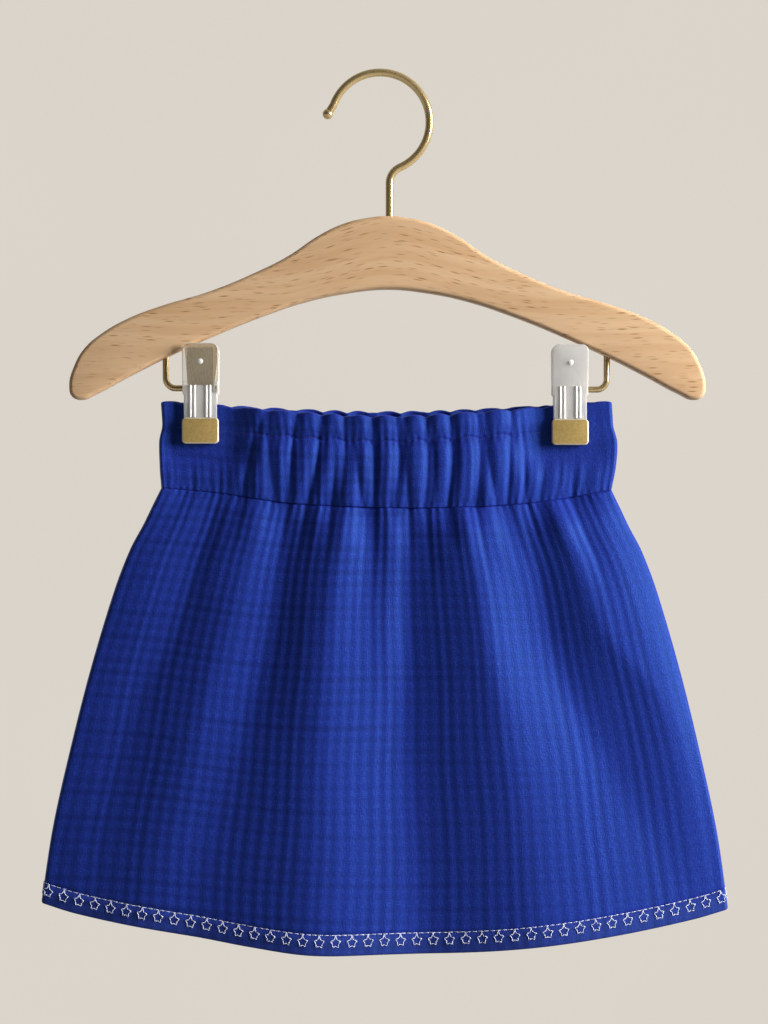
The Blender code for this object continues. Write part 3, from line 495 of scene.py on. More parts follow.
BACK_FOLDS = table(
    "places heights_mm round_top_mm round_hem_mm",
    ((0.070, 0.062, 0.050, 0.040), (1.0, 1.0, 0.8, 0.4), 3.0, 9),
    ((0.150, 0.160, 0.150, 0.130), (-2.4, -2.8, -2.6, -1.6), 3.0, 10),
    ((0.250, 0.262, 0.265, 0.250), (3.2, 3.8, 3.6, 2.8), 4.0, 14),
    ((0.345, 0.350, 0.372, 0.375), (-3.2, -3.8, -3.6, -2.8), 3.0, 11),
    ((0.460, 0.448, 0.470, 0.482), (3.8, 4.4, 4.2, 3.6), 4.0, 18),
    ((0.590, 0.585, 0.577, 0.600), (-3.8, -4.2, -4.0, -3.0), 3.0, 12),
    ((0.690, 0.700, 0.690, 0.715), (3.4, 4.0, 4.0, 3.0), 3.5, 14),
    ((0.790, 0.800, 0.812, 0.850), (-3.0, -3.4, -3.0, -1.6), 3.0, 11),
    ((0.880, 0.905, 0.930, 0.955), (1.8, 2.2, 1.6, 0.6), 3.0, 10),
)
FOLD_STATIONS = (0.09, 0.31, 0.5, 1.0)
FOLDS_START = (-0.02, 0.07)
SIDES_STAY_PLAIN = 0.03
ROUNDER_FROM = 0.12


def fold_height(x_share, down, side):
    """How far the folds move the cloth out: down is 0 at the waist seam and 1 at the hem."""
    half_width = skirt_half_width(down)
    x = x_share * half_width
    level = np.zeros_like(x)
    rounder = soft_step(down, ROUNDER_FROM, 1.0)
    bends = []
    for fold in FRONT_FOLDS if side == FRONT else BACK_FOLDS:
        at = (2.0 * curve_through(FOLD_STATIONS, fold.places, down) - 1.0) * half_width
        rise = curve_through(FOLD_STATIONS, np.array(fold.heights_mm) * MM, down)
        around = (fold.round_top_mm + (fold.round_hem_mm - fold.round_top_mm) * rounder) * MM
        bends.append((at, rise, around))
    lines = [(-half_width, level, level), *bends, (half_width, level, level)]
    slopes = [
        (after[1] - before[1]) / (after[0] - before[0]) for before, after in zip(lines, lines[1:])
    ]
    height = (slopes[0] + slopes[-1]) / 2 * x
    ends = (slopes[0] - slopes[-1]) / 2 * half_width
    for (at, _, around), left, right in zip(bends, slopes, slopes[1:]):
        height = height + (right - left) / 2 * np.sqrt((x - at) ** 2 + around**2)
    height = height + ends
    edge = soft_step(1.0 - np.abs(x_share), 0.0, SIDES_STAY_PLAIN)
    return height * edge * soft_step(down, *FOLDS_START)


print(len(FRONT_FOLDS), "bends in front and", len(BACK_FOLDS), "behind")

# %% [markdown]
# ## Crinkle of double gauze
# Double gauze is two open weaves tacked together at small stitches in a grid. After washing, the
# squares between the tacks puff up, so the cloth has ribs down its length and fainter rows across,
# no two of them equally strong.
# A UV map called `cloth` counts metres of flat cloth, so that the ribs crowd together where the waist
# is gathered and spread out at the hem, and the painted shade of the troughs stays in step with the
# relief.

# %% Crinkle
RIB_PITCH = 6.2 * MM
ROW_PITCH = 5.6 * MM
RIB_HEIGHT = 0.085 * MM
ROW_HEIGHT = 0.07 * MM
HEM_CUT = 0.345
RIBS_MOST = 120
THREADS_WANDER = table("by_mm over_mm bend bend_over_mm", (0.5, 13, 2.0, 37), (0.8, 29, 1.3, 41))
uneven = np.random.default_rng(11)
rib_strength = uneven.uniform(0.35, 1.65, RIBS_MOST)
row_strength = uneven.uniform(0.2, 1.8, RIBS_MOST)


def cloth_map(arc_share, along):
    """Flat place of a point of cloth, in metres, with the threads wandering a little."""
    u, v = arc_share * HEM_CUT, along
    wandered = []
    for place, other, row in zip((u, v), (v, u), THREADS_WANDER):
        turns = other / (row.over_mm * MM) + row.bend * np.sin(place / (row.bend_over_mm * MM))
        wandered.append(place + row.by_mm * MM * np.sin(turns))
    return wandered


def crinkle(u, v, rows_show):
    """Relief of the ribs and rows, about zero."""
    steps = np.arange(RIBS_MOST)
    ribs = np.cos(2 * pi * u / RIB_PITCH) * np.interp(u / RIB_PITCH, steps, rib_strength)
    rows = np.cos(2 * pi * v / ROW_PITCH) * np.interp(v / ROW_PITCH, steps, row_strength)
    return RIB_HEIGHT * ribs + ROW_HEIGHT * rows * rows_show


print("a rib every", RIB_PITCH * 1000, "mm and a row every", ROW_PITCH * 1000, "mm")

# %% [markdown]
# ## Surfaces
# A grid point of the cloth has a share across (-1 to 1) and a share down (0 to 1). These functions turn
# whole grids of shares into points in space. The gauze rolls in at the seam, is drawn down a little by
# each row of stitches, and folds over round at its free edges.

# %% Clips press the band
CLIPS = table(
    "name middle_x_mm wire_x_mm wire_z_mm",
    ("left", -84.6, -101.2, -147.3),
    ("right", 89.6, 107.1, -147.9),
)
PAD_TOP = -13.9 * MM
PAD_HEIGHT = 12.4 * MM
PRESSED_DEPTH = BAND_WALL + 0.35 * MM
PRESS_HALF_WIDTH = 11.0 * MM
PRESS_SIDE_EASE = 20.0 * MM
PRESS_BELOW_PAD = 1.5 * MM
PRESS_LOW_EASE = 16.0 * MM
HELD_REACH = (9.0 * MM, 26.0 * MM)
HELD_SHARE = 0.45


def press(x, z):
    """1 where a clip presses the waistband flat, 0 away from it."""
    most = 0.0
    for clip in CLIPS:
        aside = np.abs(x - clip.middle_x_mm * MM)
        foot = clip.wire_z_mm * MM + PAD_TOP - PAD_HEIGHT - PRESS_BELOW_PAD
        beside = 1.0 - soft_step(aside, PRESS_HALF_WIDTH, PRESS_HALF_WIDTH + PRESS_SIDE_EASE)
        most = np.maximum(most, beside * soft_step(z, foot - PRESS_LOW_EASE, foot))
    return most


def slack(x):
    """How freely the waistband gathers: 1 between the clips, less by each clip and out to the side."""
    held = 0.0
    for clip in CLIPS:
        inward = (clip.middle_x_mm * MM - x) * np.sign(clip.middle_x_mm)
        held = np.maximum(held, 1.0 - soft_step(inward, *HELD_REACH))
    return 1.0 - HELD_SHARE * held


print(len(CLIPS), "clips")

# %% Waistband surface
PILLOWS = table(
    "from_middle_mm above_seam_mm wide_mm high_mm rise_mm",
    (-17.6, 3.0, 5.2, 7.5, 1.3),
    (-60.0, 3.0, 4.6, 7.0, 0.9),
    (47.6, 3.0, 4.6, 7.0, 0.9),
)
HEADER_STITCHES_DOWN = 11.8 * MM
HEADER_DIP = 0.55 * MM
HEADER_DIP_REACH = 0.9 * MM
TOP_ROLL = 0.7 * MM
TOP_SMOOTH_REACH = 3 * MM
SEAM_ROLL = 0.9 * MM
SEAM_DIP = 0.55 * MM
CORNER_DROP = 1.4 * MM
CORNER_REACH = 4.0 * MM
SCALLOP = 0.5
PUCKER_PITCH = 3.1 * MM
PUCKER_HEIGHT = 0.13 * MM
PUCKER_REACH = 2.5 * MM
SLACK_BETWEEN_STITCHES = 0.7
THINNEST_ROLL = 0.12
BAND_CRINKLE = 1.1
BAND_ROWS_SHOW = 0.1


def pucker(from_middle, from_line):
    """Small pinches on both sides of a line of stitches."""
    waves = np.cos(2 * pi * from_middle / PUCKER_PITCH)
    return PUCKER_HEIGHT * waves * bump(from_line, PUCKER_REACH)


def rolled_in(from_middle, from_seam):
    """How far the cloth rolls in at the seam, as a share below 0: most at each stitch."""
    pull = 1.0 - SLACK_BETWEEN_STITCHES * np.sin(pi * from_middle / PUCKER_PITCH) ** 2
    return (side_turn(from_seam, SEAM_ROLL) - 1.0) * pull


def band_top_z(from_middle, x_share, from_edge, side):
    """Height of the band's scalloped top edge."""
    top = BAND_TOP_Z + BAND_TOP_SIDE_RISE * np.abs(x_share) ** BAND_TOP_CURVE
    top = top - SCALLOP * crease_depth(from_middle, 0.0 * x_share, side)
    top = top - CORNER_DROP * (1.0 - side_turn(from_edge, CORNER_REACH))
    if side == BACK:
        return top + BACK_STANDS_UP * np.maximum(1 - (from_middle / BACK_STANDS_UP_REACH) ** 2, 0)
    return top - FRONT_SAGS * bump(from_middle, FRONT_SAGS_REACH)


def band_surface(x_share, down, inside, side, arc_share):
    """Points of the waistband's outer or inner side, and their places on the flat cloth."""
    half_width, swell, crease_share = (
        read_off(BAND_SHAPE, "down", name, down) for name in ("half_width_mm", "swell_mm", "crease")
    )
    from_middle = x_share * (half_width - (BAND_WALL if inside else 0.0))
    from_edge = (1.0 - np.abs(x_share)) * half_width
    x = SKIRT_MIDDLE_X + from_middle + BAND_LEAN * np.sin(pi * down)
    top, bottom = band_top_z(from_middle, x_share, from_edge, side), waist_seam_z(from_middle)
    z = top + (bottom - top) * down
    below_top, above_seam = top - z, z - bottom
    pressed = press(x, z)
    depth = open_band_depth(from_middle) * (1.0 - pressed) + PRESSED_DEPTH * pressed
    relief = (swell + crease_share * (PUFF - crease_depth(from_middle, down, side))) * slack(x)
    for pillow in PILLOWS:
        aside = from_middle * -side - pillow.from_middle_mm * MM
        lift = pillow.rise_mm * MM * bump(aside, pillow.wide_mm * MM)
        relief = relief + lift * bump(above_seam - pillow.above_seam_mm * MM, pillow.high_mm * MM)
    from_header = below_top - HEADER_STITCHES_DOWN
    relief = relief - HEADER_DIP * bump(from_header, HEADER_DIP_REACH)
    relief = relief + pucker(from_middle, from_header)
    relief = relief + pucker(from_middle, above_seam)
    u, v = cloth_map(arc_share, below_top)
    below_ruffle = 1.0 - bump(below_top, TOP_SMOOTH_REACH)
    relief = relief + BAND_CRINKLE * crinkle(u, v, BAND_ROWS_SHOW) * below_ruffle
    outer = depth + (relief + SEAM_DIP * rolled_in(from_middle, above_seam)) * (1.0 - pressed)
    middle = outer - BAND_WALL / 2
    thin = np.maximum(side_turn(below_top, TOP_ROLL), THINNEST_ROLL)
    out = middle + (BAND_WALL / 2) * thin * (-1.0 if inside else 1.0)
    out = SIDE_GAP / 2 + np.maximum(out, 0.0) * side_turn(from_edge, SIDE_TURN)
    return np.stack([x, side * out, z], axis=-1), np.stack([u, v], axis=-1)


print("the header stitches run", HEADER_STITCHES_DOWN * 1000, "mm below the top edge")

# %% Skirt and hem surface
STITCH_DIP = 0.45 * MM
STITCH_DIP_REACH = 1.0 * MM
HEM_ROLL = 1.0 * MM
HEM_STEP = (0.3 * MM, 2.4 * MM)
HEM_CRINKLE = 0.5
PUFF_FADES = 30 * MM
NEAR_SEAM_RIBS = 0.55
NEAR_SEAM = 45 * MM
ROWS_FADE = 0.8
ROWS_FADE_ACROSS = (0.1, 0.55)
EDGE_WITHOUT_CRINKLE = 0.04


def skirt_surface(x_share, down, inset, side, arc_share, hem=False):
    """Points of the skirt's panel, or of its hem, inset from the outer side, and their flat places."""
    from_middle = x_share * (skirt_half_width(down) - inset)
    x = SKIRT_MIDDLE_X + SKIRT_LEAN * down + from_middle
    at_seam = x_share * HALF_SEAM
    top, bottom = waist_seam_z(at_seam), hem_z(x_share)
    z = top + (bottom - top) * down
    below_seam, above_edge = top - z, z - bottom
    turn = side_turn((1.0 - np.abs(x_share)) * HALF_SEAM, SIDE_TURN)
    grown = down**FLARE_OF_DEPTH
    waist_depth = (open_band_depth(at_seam) - SEAM_RECESS) * turn
    depth = waist_depth * (1.0 - grown) + HEM_DEPTH * lens(x_share) * grown
    tails_out = PUFF * BELOW_SEAM * (1.0 - soft_step(below_seam, 0.0, PUFF_FADES))
    tails = (tails_out - crease_tails(at_seam, below_seam, side)) * (0.5 + 0.5 * slack(x))
    gathers = tails + pucker(at_seam, below_seam) + SEAM_DIP * rolled_in(at_seam, below_seam)
    relief = fold_height(x_share, down, side) + gathers * turn
    u, v = cloth_map(arc_share, below_seam)
    rows_show = 1.0 - ROWS_FADE * soft_step(x_share * -side, *ROWS_FADE_ACROSS)
    ribs_stand = 1.0 + NEAR_SEAM_RIBS * (1.0 - soft_step(below_seam, 0.0, NEAR_SEAM))
    edge = soft_step(1.0 - np.abs(x_share), 0.0, EDGE_WITHOUT_CRINKLE)
    finest = crinkle(u, v, rows_show) * ribs_stand * edge
    relief = relief + finest * (HEM_CRINKLE if hem else 1.0)
    from_stitches = above_edge - HEM_DEEP
    relief = relief - STITCH_DIP * bump(from_stitches, STITCH_DIP_REACH) * turn
    if hem:
        relief = relief + HEM_PROUD * soft_step(-from_stitches, *HEM_STEP) * turn
    hem_inset = np.minimum(lens(x_share) * SIDE_INSET_GROWS, 1.0)
    in_share = turn * (1.0 - grown) + hem_inset * grown
    out = SIDE_GAP / 2 + np.maximum(depth - inset * in_share + relief, 0.0)
    return np.stack([x, side * out, z], axis=-1), np.stack([u, v], axis=-1)


def hem_starts(x_share):
    """How far down the skirt its hem begins, as a share of the skirt's length there."""
    return 1.0 - HEM_DEEP / (waist_seam_z(x_share * HALF_SEAM) - hem_z(x_share))


print("the hem is", HEM_DEEP * 1000, "mm deep")

# %% [markdown]
# ## Grids and walls
# The columns of a grid are spaced evenly along the wavy cloth, not across the view, so that a steep
# flank has as many points as a flat one. The outer side is twice as fine as the inner side: both are
# joined round their rim into one closed wall, as a real piece of cloth has a thickness.

# %% Grid and wall makers
FINE_STEPS = 24000
Grid = namedtuple("Grid", "columns rows")
PANEL_GRID = Grid(368, 180)
BAND_GRID = Grid(440, 80)
HEM_GRID = Grid(368, 12)


def even_columns(count, points_at):
    """Shares across whose points lie evenly along the cloth, and the length of the cloth's curve."""
    shares = -np.cos(np.linspace(0.0, pi, FINE_STEPS))
    points = points_at(shares)
    lengths = np.concatenate([[0.0], np.hypot(*np.diff(points[:, :2], axis=0).T).cumsum()])
    places = np.interp(np.linspace(0.0, lengths[-1], count + 1), lengths, shares)
    places[0], places[-1] = -1.0, 1.0
    return places, lengths[-1]


def closer_at(*spots):
    """A density of rows: 1, and more near each spot (share down, how much more, reach)."""
    return lambda down: 1.0 + sum(more * bump(down - at, reach) for at, more, reach in spots)


def dense_rows(count, density):
    """Shares down, closer together where the density is high."""
    fine = np.linspace(0.0, 1.0, FINE_STEPS)
    total = np.concatenate([[0.0], density(fine)[1:].cumsum()])
    return np.interp(np.linspace(0.0, total[-1], count + 1), total, fine)


def quads(rows, columns, first):
    """Vertex numbers of the faces of a grid of points whose first number is given."""
    numbers = first + np.arange(rows * columns).reshape(rows, columns)
    corners = (numbers[:-1, :-1], numbers[1:, :-1], numbers[1:, 1:], numbers[:-1, 1:])
    return np.stack(corners, axis=-1).reshape(-1, 4), numbers


def rim(numbers):
    """The numbers round the edge of a grid."""
    return np.concatenate([numbers[0, :-1], numbers[:-1, -1], numbers[-1, :0:-1], numbers[:0:-1, 0]])


@contextmanager
def edited(mesh):
    """The mesh as a bmesh, which is written back at the end."""
    shape = bmesh.new()
    shape.from_mesh(mesh)
    yield shape
    shape.to_mesh(mesh)
    shape.free()


def triangles(mesh):
    """How many triangles the faces of a mesh make."""
    return sum(len(face.vertices) - 2 for face in mesh.polygons)


def wall_object(name, outer, inner, outer_map, inner_map):
    """A closed wall between an outer grid and an inner one that has every second row and column."""
    rows, columns = outer.shape[:2]
    outer_faces, out = quads(rows, columns, 0)
    inner_faces, inn = quads(*inner.shape[:2], rows * columns)
    fine, coarse = rim(out), rim(inn)
    corners = (fine[::2], fine[1::2], np.roll(fine[::2], -1), np.roll(coarse, -1), coarse)
    rim_faces = np.stack(corners, axis=-1)
    points = np.concatenate([outer.reshape(-1, 3), inner.reshape(-1, 3)])
    faces = [*outer_faces.tolist(), *inner_faces[:, ::-1].tolist(), *rim_faces.tolist()]
    mesh = bpy.data.meshes.new(name)
    mesh.from_pydata(points, [], faces)
    with edited(mesh) as shape:
        bmesh.ops.recalc_face_normals(shape, faces=shape.faces)
    flat = np.concatenate([outer_map.reshape(-1, 2), inner_map.reshape(-1, 2)])
    corner_points = np.empty(len(mesh.loops), int)
    mesh.loops.foreach_get("vertex_index", corner_points)
    uv = mesh.uv_layers.new(name="cloth")
    uv.data.foreach_set("uv", flat[corner_points].astype(np.float32).ravel())
    mesh.shade_smooth()
    print(name, triangles(mesh), "triangles")
    return add_object(name, mesh)


def cloth_piece(name, grid, section, density, surface, material):
    """A wall of cloth. section gives the curve across, surface the points and their flat places."""
    places, arc_long = even_columns(grid.columns, section)
    downs = dense_rows(grid.rows, density)
    arcs = np.linspace(0.0, 1.0, grid.columns + 1)
    sides = []
    for step, inside in ((1, False), (2, True)):
        share, down = np.meshgrid(places[::step], downs[::step])
        arc = np.broadcast_to(arcs[::step], share.shape)
        sides.append(surface(share, down, arc, inside))
    (outer, outer_map), (inner, inner_map) = sides
    piece = wall_object(name, outer, inner, outer_map, inner_map)
    piece.data.materials.append(material)
    print("its curve across is", round(arc_long, 4), "m long")
    return piece


print("panel grid", PANEL_GRID.columns, "by", PANEL_GRID.rows)

# %% [markdown]
# ## Cloth material
# Cotton double gauze is matt and soft. Its threads scatter light, so it has a little sheen at glancing
# angles and only a broad, faint gloss, which the dye tints blue. The troughs of the crinkle are painted
# a little darker, as painted shade, some of them more than others, and the yarns are a little uneven.
# The real yarns are about 0.4 mm apart, less than a pixel, so the bump draws them about twice as coarse.

# %% Painted shade in the troughs of the gauze
# Sizes and strengths of the painted shade in the troughs of the crinkle.
ACROSS_A_TROUGH = 0.62
ALONG_A_TROUGH = 0.05
RIB_TROUGH_SHADE_SHOWS = 0.48
ROW_TROUGH_SHADE_FADES = {"From Min": 0.15, "From Max": 0.27, "To Min": 0.52, "To Max": 0.16}
TROUGH_SHADE_OF_WAVE = {"From Min": 0.6, "From Max": -1.0}
TROUGH_SHADES_DIFFER = {"From Min": 0.35, "From Max": 0.65, "To Min": 0.15, "To Max": 1.85}


def gauze_trough_shade(tree, flat):
    """How much painted shade shows in the troughs at a flat place: ribs and rows, each of uneven
    strength.
    """
    parts = put(tree, "ShaderNodeSeparateXYZ", {0: flat})
    rows_show = put(tree, "ShaderNodeMapRange", {"Value": parts["X"], **ROW_TROUGH_SHADE_FADES})[0]
    trough_shades = []
    for axis, pitch, show in (("X", RIB_PITCH, RIB_TROUGH_SHADE_SHOWS), ("Y", ROW_PITCH, rows_show)):
        turns = put(tree, "ShaderNodeMath", {0: parts[axis], 1: 2 * pi / pitch}, operation="MULTIPLY")
        wave = put(tree, "ShaderNodeMath", {0: turns[0]}, operation="COSINE")[0]
        trough_shade = put(tree, "ShaderNodeMapRange", {"Value": wave, **TROUGH_SHADE_OF_WAVE, "To Max": show})
        stretch = [ALONG_A_TROUGH / pitch, ALONG_A_TROUGH / pitch, 1.0]
        stretch["XY".index(axis)] = ACROSS_A_TROUGH / pitch
        place = put(tree, "ShaderNodeMapping", {"Vector": flat, "Scale": stretch})[0]
        patch = put(tree, "ShaderNodeTexNoise", {"Vector": place, "Scale": 1.0, "Detail": 1.0})["Fac"]
        strength = put(tree, "ShaderNodeMapRange", {"Value": patch, **TROUGH_SHADES_DIFFER})
        factors = {0: trough_shade[0], 1: strength[0]}
        trough_shades.append(put(tree, "ShaderNodeMath", factors, operation="MULTIPLY")[0])
    return put(tree, "ShaderNodeMath", dict(enumerate(trough_shades)), operation="ADD")[0]


print("a trough's patches are", round(RIB_PITCH / ACROSS_A_TROUGH * 1000), "mm wide")

# %% Yarns of the gauze
GAUZE_PALE_YARN = "#2b42b0"
YARN = 0.75 * MM
PALE_YARNS = {"From Min": 0.95, "From Max": 1.35, "To Max": 0.8}


def gauze_yarns(tree, flat):
    """The unevenness of the two sets of yarns at a flat place, about 1."""
    yarns = []
    for stretch in ((1.0, 0.3, 1.0), (0.3, 1.0, 1.0)):
        scale = [share / YARN for share in stretch]
        place = put(tree, "ShaderNodeMapping", {"Vector": flat, "Scale": scale})[0]
        fine = {"Vector": place, "Scale": 1.0, "Detail": 2.0, "Roughness": 0.6}
        yarns.append(put(tree, "ShaderNodeTexNoise", fine)["Fac"])
    return put(tree, "ShaderNodeMath", dict(enumerate(yarns)), operation="ADD")[0]


print("the yarns are drawn", YARN * 1000, "mm apart")

# %% Double gauze
GAUZE_BLUE = "#1f2b99"
# The trough blues are painted shade, laid into the troughs of the crinkle.
GAUZE_TROUGH_SHADE_BLUE = "#1a2485"
HEM_BLUE = "#29338f"
HEM_TROUGH_SHADE_BLUE = "#232c80"


def double_gauze(name, blue, trough_shade_blue):
    """Crinkled cotton double gauze, dyed royal blue, with painted shade in its troughs."""
    material, tree, shader = new_material(name)
    flat = put(tree, "ShaderNodeUVMap", uv_map="cloth")[0]
    trough_shade, weave = gauze_trough_shade(tree, flat), gauze_yarns(tree, flat)
    pale = put(tree, "ShaderNodeMapRange", {"Value": weave, **PALE_YARNS})[0]
    tone = linear(blue)
    # The second mix lays the painted shade into the troughs.
    for share, colour in ((pale, GAUZE_PALE_YARN), (trough_shade, trough_shade_blue)):
        tone = put(tree, "ShaderNodeMix", {0: share, 6: tone, 7: linear(colour)}, data_type="RGBA")[2]
    relief = put(tree, "ShaderNodeBump", {"Height": weave, "Strength": 0.6, "Distance": 0.25 * MM})
    gloss = {"Roughness": 0.6, "Specular IOR Level": 0.5, "Specular Tint": linear("#59bcff")}
    sheen = {"Sheen Weight": 0.06, "Sheen Roughness": 0.5, "Sheen Tint": linear("#8fa8f0")}
    set_inputs(tree, shader, {"Base Color": tone, "Normal": relief[0], **gloss, **sheen})
    return material


gauze = double_gauze("crinkled_cotton_double_gauze", GAUZE_BLUE, GAUZE_TROUGH_SHADE_BLUE)
hem_gauze = double_gauze("pressed_hem_double_gauze", HEM_BLUE, HEM_TROUGH_SHADE_BLUE)
print(gauze.name, "and", hem_gauze.name)

# %% [markdown]
# ## Waistband
# The casing is two layers of gauze with the elastic between them, with a narrow ruffle above the upper
# row of stitches. Seen from behind, the back has the creases that the front has seen from in front.

# %% Make the waistband
BAND_LONG = 45.0 * MM
BAND_COLUMNS_EVEN_AT = 0.45
BAND_TOP_ROWS = (0.0, 3.5, 0.03)
BAND_STITCH_ROWS = (HEADER_STITCHES_DOWN / BAND_LONG, 1.5, 0.04)
BAND_SEAM_ROWS = (1.0, 2.0, 0.03)
band_density = closer_at(BAND_TOP_ROWS, BAND_STITCH_ROWS, BAND_SEAM_ROWS)


def make_band(side, word):
    """One half of the waistband."""

    def section(shares):
        level = np.full_like(shares, BAND_COLUMNS_EVEN_AT)
        return band_surface(shares, level, False, side, (shares + 1) / 2)[0]

    def surface(share, down, arc, inside):
        return band_surface(share, down, inside, side, arc)

    return cloth_piece(f"waistband_shell_{word}", BAND_GRID, section, band_density, surface, gauze)


bands = {side: make_band(side, word) for side, word in SIDE_NAMES}

# %% [markdown]
# ## Panels and hems
# Each panel is one piece of gauze. Its hem is turned up and stitched, so there the wall is double and
# the outer side stands a little proud below the line of stitches.

# %% Make the panels and hems
PANEL_COLUMNS_EVEN_AT = 0.8
panel_density = closer_at((0.0, 2.5, 0.012), (1.0, 2.0, 0.012))
hem_density = closer_at((1.0, 3.0, 0.08))


def skirt_section(side):
    """The curve that the columns of a panel and its hem are spaced along."""

    def section(shares):
        level = np.full_like(shares, PANEL_COLUMNS_EVEN_AT)
        return skirt_surface(shares, level, 0.0, side, (shares + 1) / 2)[0]

    return section


def make_panel(side, word):
    """One panel, from the waist seam to the hem's stitches."""

    def surface(share, row, arc, inside):
        inset = GAUZE_WALL if inside else 0.0
        return skirt_surface(share, row * hem_starts(share), inset, side, arc)

    section = skirt_section(side)
    return cloth_piece(f"skirt_shell_{word}", PANEL_GRID, section, panel_density, surface, gauze)


def make_hem(side, word):
    """The turned-up hem, rounded at its lower fold."""

    def surface(share, row, arc, inside):
        starts = hem_starts(share)
        above_edge = (1.0 - row) * HEM_DEEP
        thin = np.maximum(side_turn(above_edge, HEM_ROLL), THINNEST_ROLL)
        inset = HEM_WALL / 2 * (1.0 + (1.0 if inside else -1.0) * thin)
        return skirt_surface(share, starts + (1.0 - starts) * row, inset, side, arc, hem=True)

    section = skirt_section(side)
    return cloth_piece(f"hem_shell_{word}", HEM_GRID, section, hem_density, surface, hem_gauze)


panels = {side: make_panel(side, word) for side, word in SIDE_NAMES}
hems = {side: make_hem(side, word) for side, word in SIDE_NAMES}

# %% [markdown]
# ## Stitches
# A stitch is a short piece of thread that rises out of the cloth and goes back in. Hundreds of them
# follow the hem, so they are made by Geometry Nodes: a mesh of bare points holds where each stitch
# is, the way it runs, the way out of the cloth and its length, and the tree puts a small bent tube
# on each point. Real thread is two plies twisted together, which the material's bump shows.

# %% Stitch tree
STITCH_INPUTS = (
    ("Points", "NodeSocketGeometry", None),
    ("Thread radius", "NodeSocketFloat", 0.25 * MM),
    ("Rise", "NodeSocketFloat", 0.3 * MM),
    ("Sink", "NodeSocketFloat", -0.25 * MM),
    ("Sides", "NodeSocketInt", 5),
    ("Steps", "NodeSocketInt", 4),
    ("Material", "NodeSocketMaterial", None),
)
STITCH_FACTS = (("along", "FLOAT_VECTOR"), ("out", "FLOAT_VECTOR"), ("long", "FLOAT"))


def one_stitch(tree, given):
    """A bent tube along X, 1 long, from the tree's own inputs."""
    start = put(tree, "ShaderNodeCombineXYZ", {"X": -0.5, "Z": given["Sink"]})[0]
    end = put(tree, "ShaderNodeCombineXYZ", {"X": 0.5, "Z": given["Sink"]})[0]
    twice = put(tree, "ShaderNodeMath", {0: given["Rise"], 1: 2.0}, operation="MULTIPLY")[0]
    raised = put(tree, "ShaderNodeCombineXYZ", {"Z": twice})[0]
    route = {"Resolution": given["Steps"], "Start": start, "Middle": raised, "End": end}
    bend = put(tree, "GeometryNodeCurveQuadraticBezier", route)[0]
    round_thread = {"Resolution": given["Sides"], "Radius": given["Thread radius"]}
    ring = put(tree, "GeometryNodeCurvePrimitiveCircle", round_thread)[0]
    sweep = {"Curve": bend, "Profile Curve": ring, "Fill Caps": True}
    return put(tree, "GeometryNodeCurveToMesh", sweep)[0]


def stitch_tree():
    """A tree that turns points with attributes along, out and long into stitches."""
    tree = bpy.data.node_groups.new("sew", "GeometryNodeTree")
    for name, kind, value in STITCH_INPUTS:
        made = tree.interface.new_socket(name, in_out="INPUT", socket_type=kind)
        if value is not None:
            made.default_value = value
    tree.interface.new_socket("Stitches", in_out="OUTPUT", socket_type="NodeSocketGeometry")
    given = put(tree, "NodeGroupInput")
    tube = one_stitch(tree, given)
    fact = {}
    for name, kind in STITCH_FACTS:
        named = put(tree, "GeometryNodeInputNamedAttribute", {"Name": name}, data_type=kind)
        fact[name] = named["Attribute"]
    turn = put(tree, "FunctionNodeAlignRotationToVector", {"Vector": fact["along"]}, axis="X")[0]
    upright = {"Rotation": turn, "Vector": fact["out"]}
    turn = put(tree, "FunctionNodeAlignRotationToVector", upright, axis="Z", pivot_axis="X")[0]
    size = put(tree, "ShaderNodeCombineXYZ", {"X": fact["long"], "Y": 1.0, "Z": 1.0})[0]
    copies = {"Points": given["Points"], "Instance": tube, "Rotation": turn, "Scale": size}
    sewn_on = put(tree, "GeometryNodeInstanceOnPoints", copies)[0]
    real = put(tree, "GeometryNodeRealizeInstances", {"Geometry": sewn_on})[0]
    smooth = put(tree, "GeometryNodeSetShadeSmooth", {"Geometry": real})[0]
    painting = {"Geometry": smooth, "Material": given["Material"]}
    put(tree, "NodeGroupOutput", {"Stitches": put(tree, "GeometryNodeSetMaterial", painting)[0]})
    return tree


sew = stitch_tree()
print("stitch tree with", len(sew.nodes), "nodes")

# %% Sew stitches on points
def plain_mesh(obj):
    """The mesh of a curve or of an object with modifiers, as it shows."""
    bpy.context.view_layer.update()
    evaluated = obj.evaluated_get(bpy.context.evaluated_depsgraph_get())
    return bpy.data.meshes.new_from_object(evaluated)


def sewn(name, stitches, material, **inputs):
    """A mesh of stitches, from their starts, their ends and their ways out of the cloth."""
    starts, ends, outs = stitches
    long = np.linalg.norm(ends - starts, axis=1)
    points = bpy.data.meshes.new(name + "_points")
    points.from_pydata((starts + ends) / 2, [], [])
    facts = ((ends - starts) / long[:, None], outs, long)
    for (label, kind), values in zip(STITCH_FACTS, facts):
        attribute = points.attributes.new(label, kind, "POINT")
        key = "value" if kind == "FLOAT" else "vector"
        attribute.data.foreach_set(key, values.astype(np.float32).ravel())
    holder = add_object(name + "_points", points)
    modifier = holder.modifiers.new("sew", "NODES")
    modifier.node_group = sew
    settings = {"Material": material, **inputs}
    for item in sew.interface.items_tree:
        if item.item_type == "SOCKET" and item.in_out == "INPUT" and item.name in settings:
            modifier[item.identifier] = settings[item.name]
    mesh = plain_mesh(holder)
    mesh.name = name
    for label, _ in STITCH_FACTS:
        if label in mesh.attributes:
            mesh.attributes.remove(mesh.attributes[label])
    bpy.data.objects.remove(holder)
    print(name, len(starts), "stitches,", triangles(mesh), "triangles")
    return add_object(name, mesh)


print("a stitch has the facts", [label for label, _ in STITCH_FACTS])

# %% Thread materials
PLY_LINES = 1.0 / (2.2 * MM)


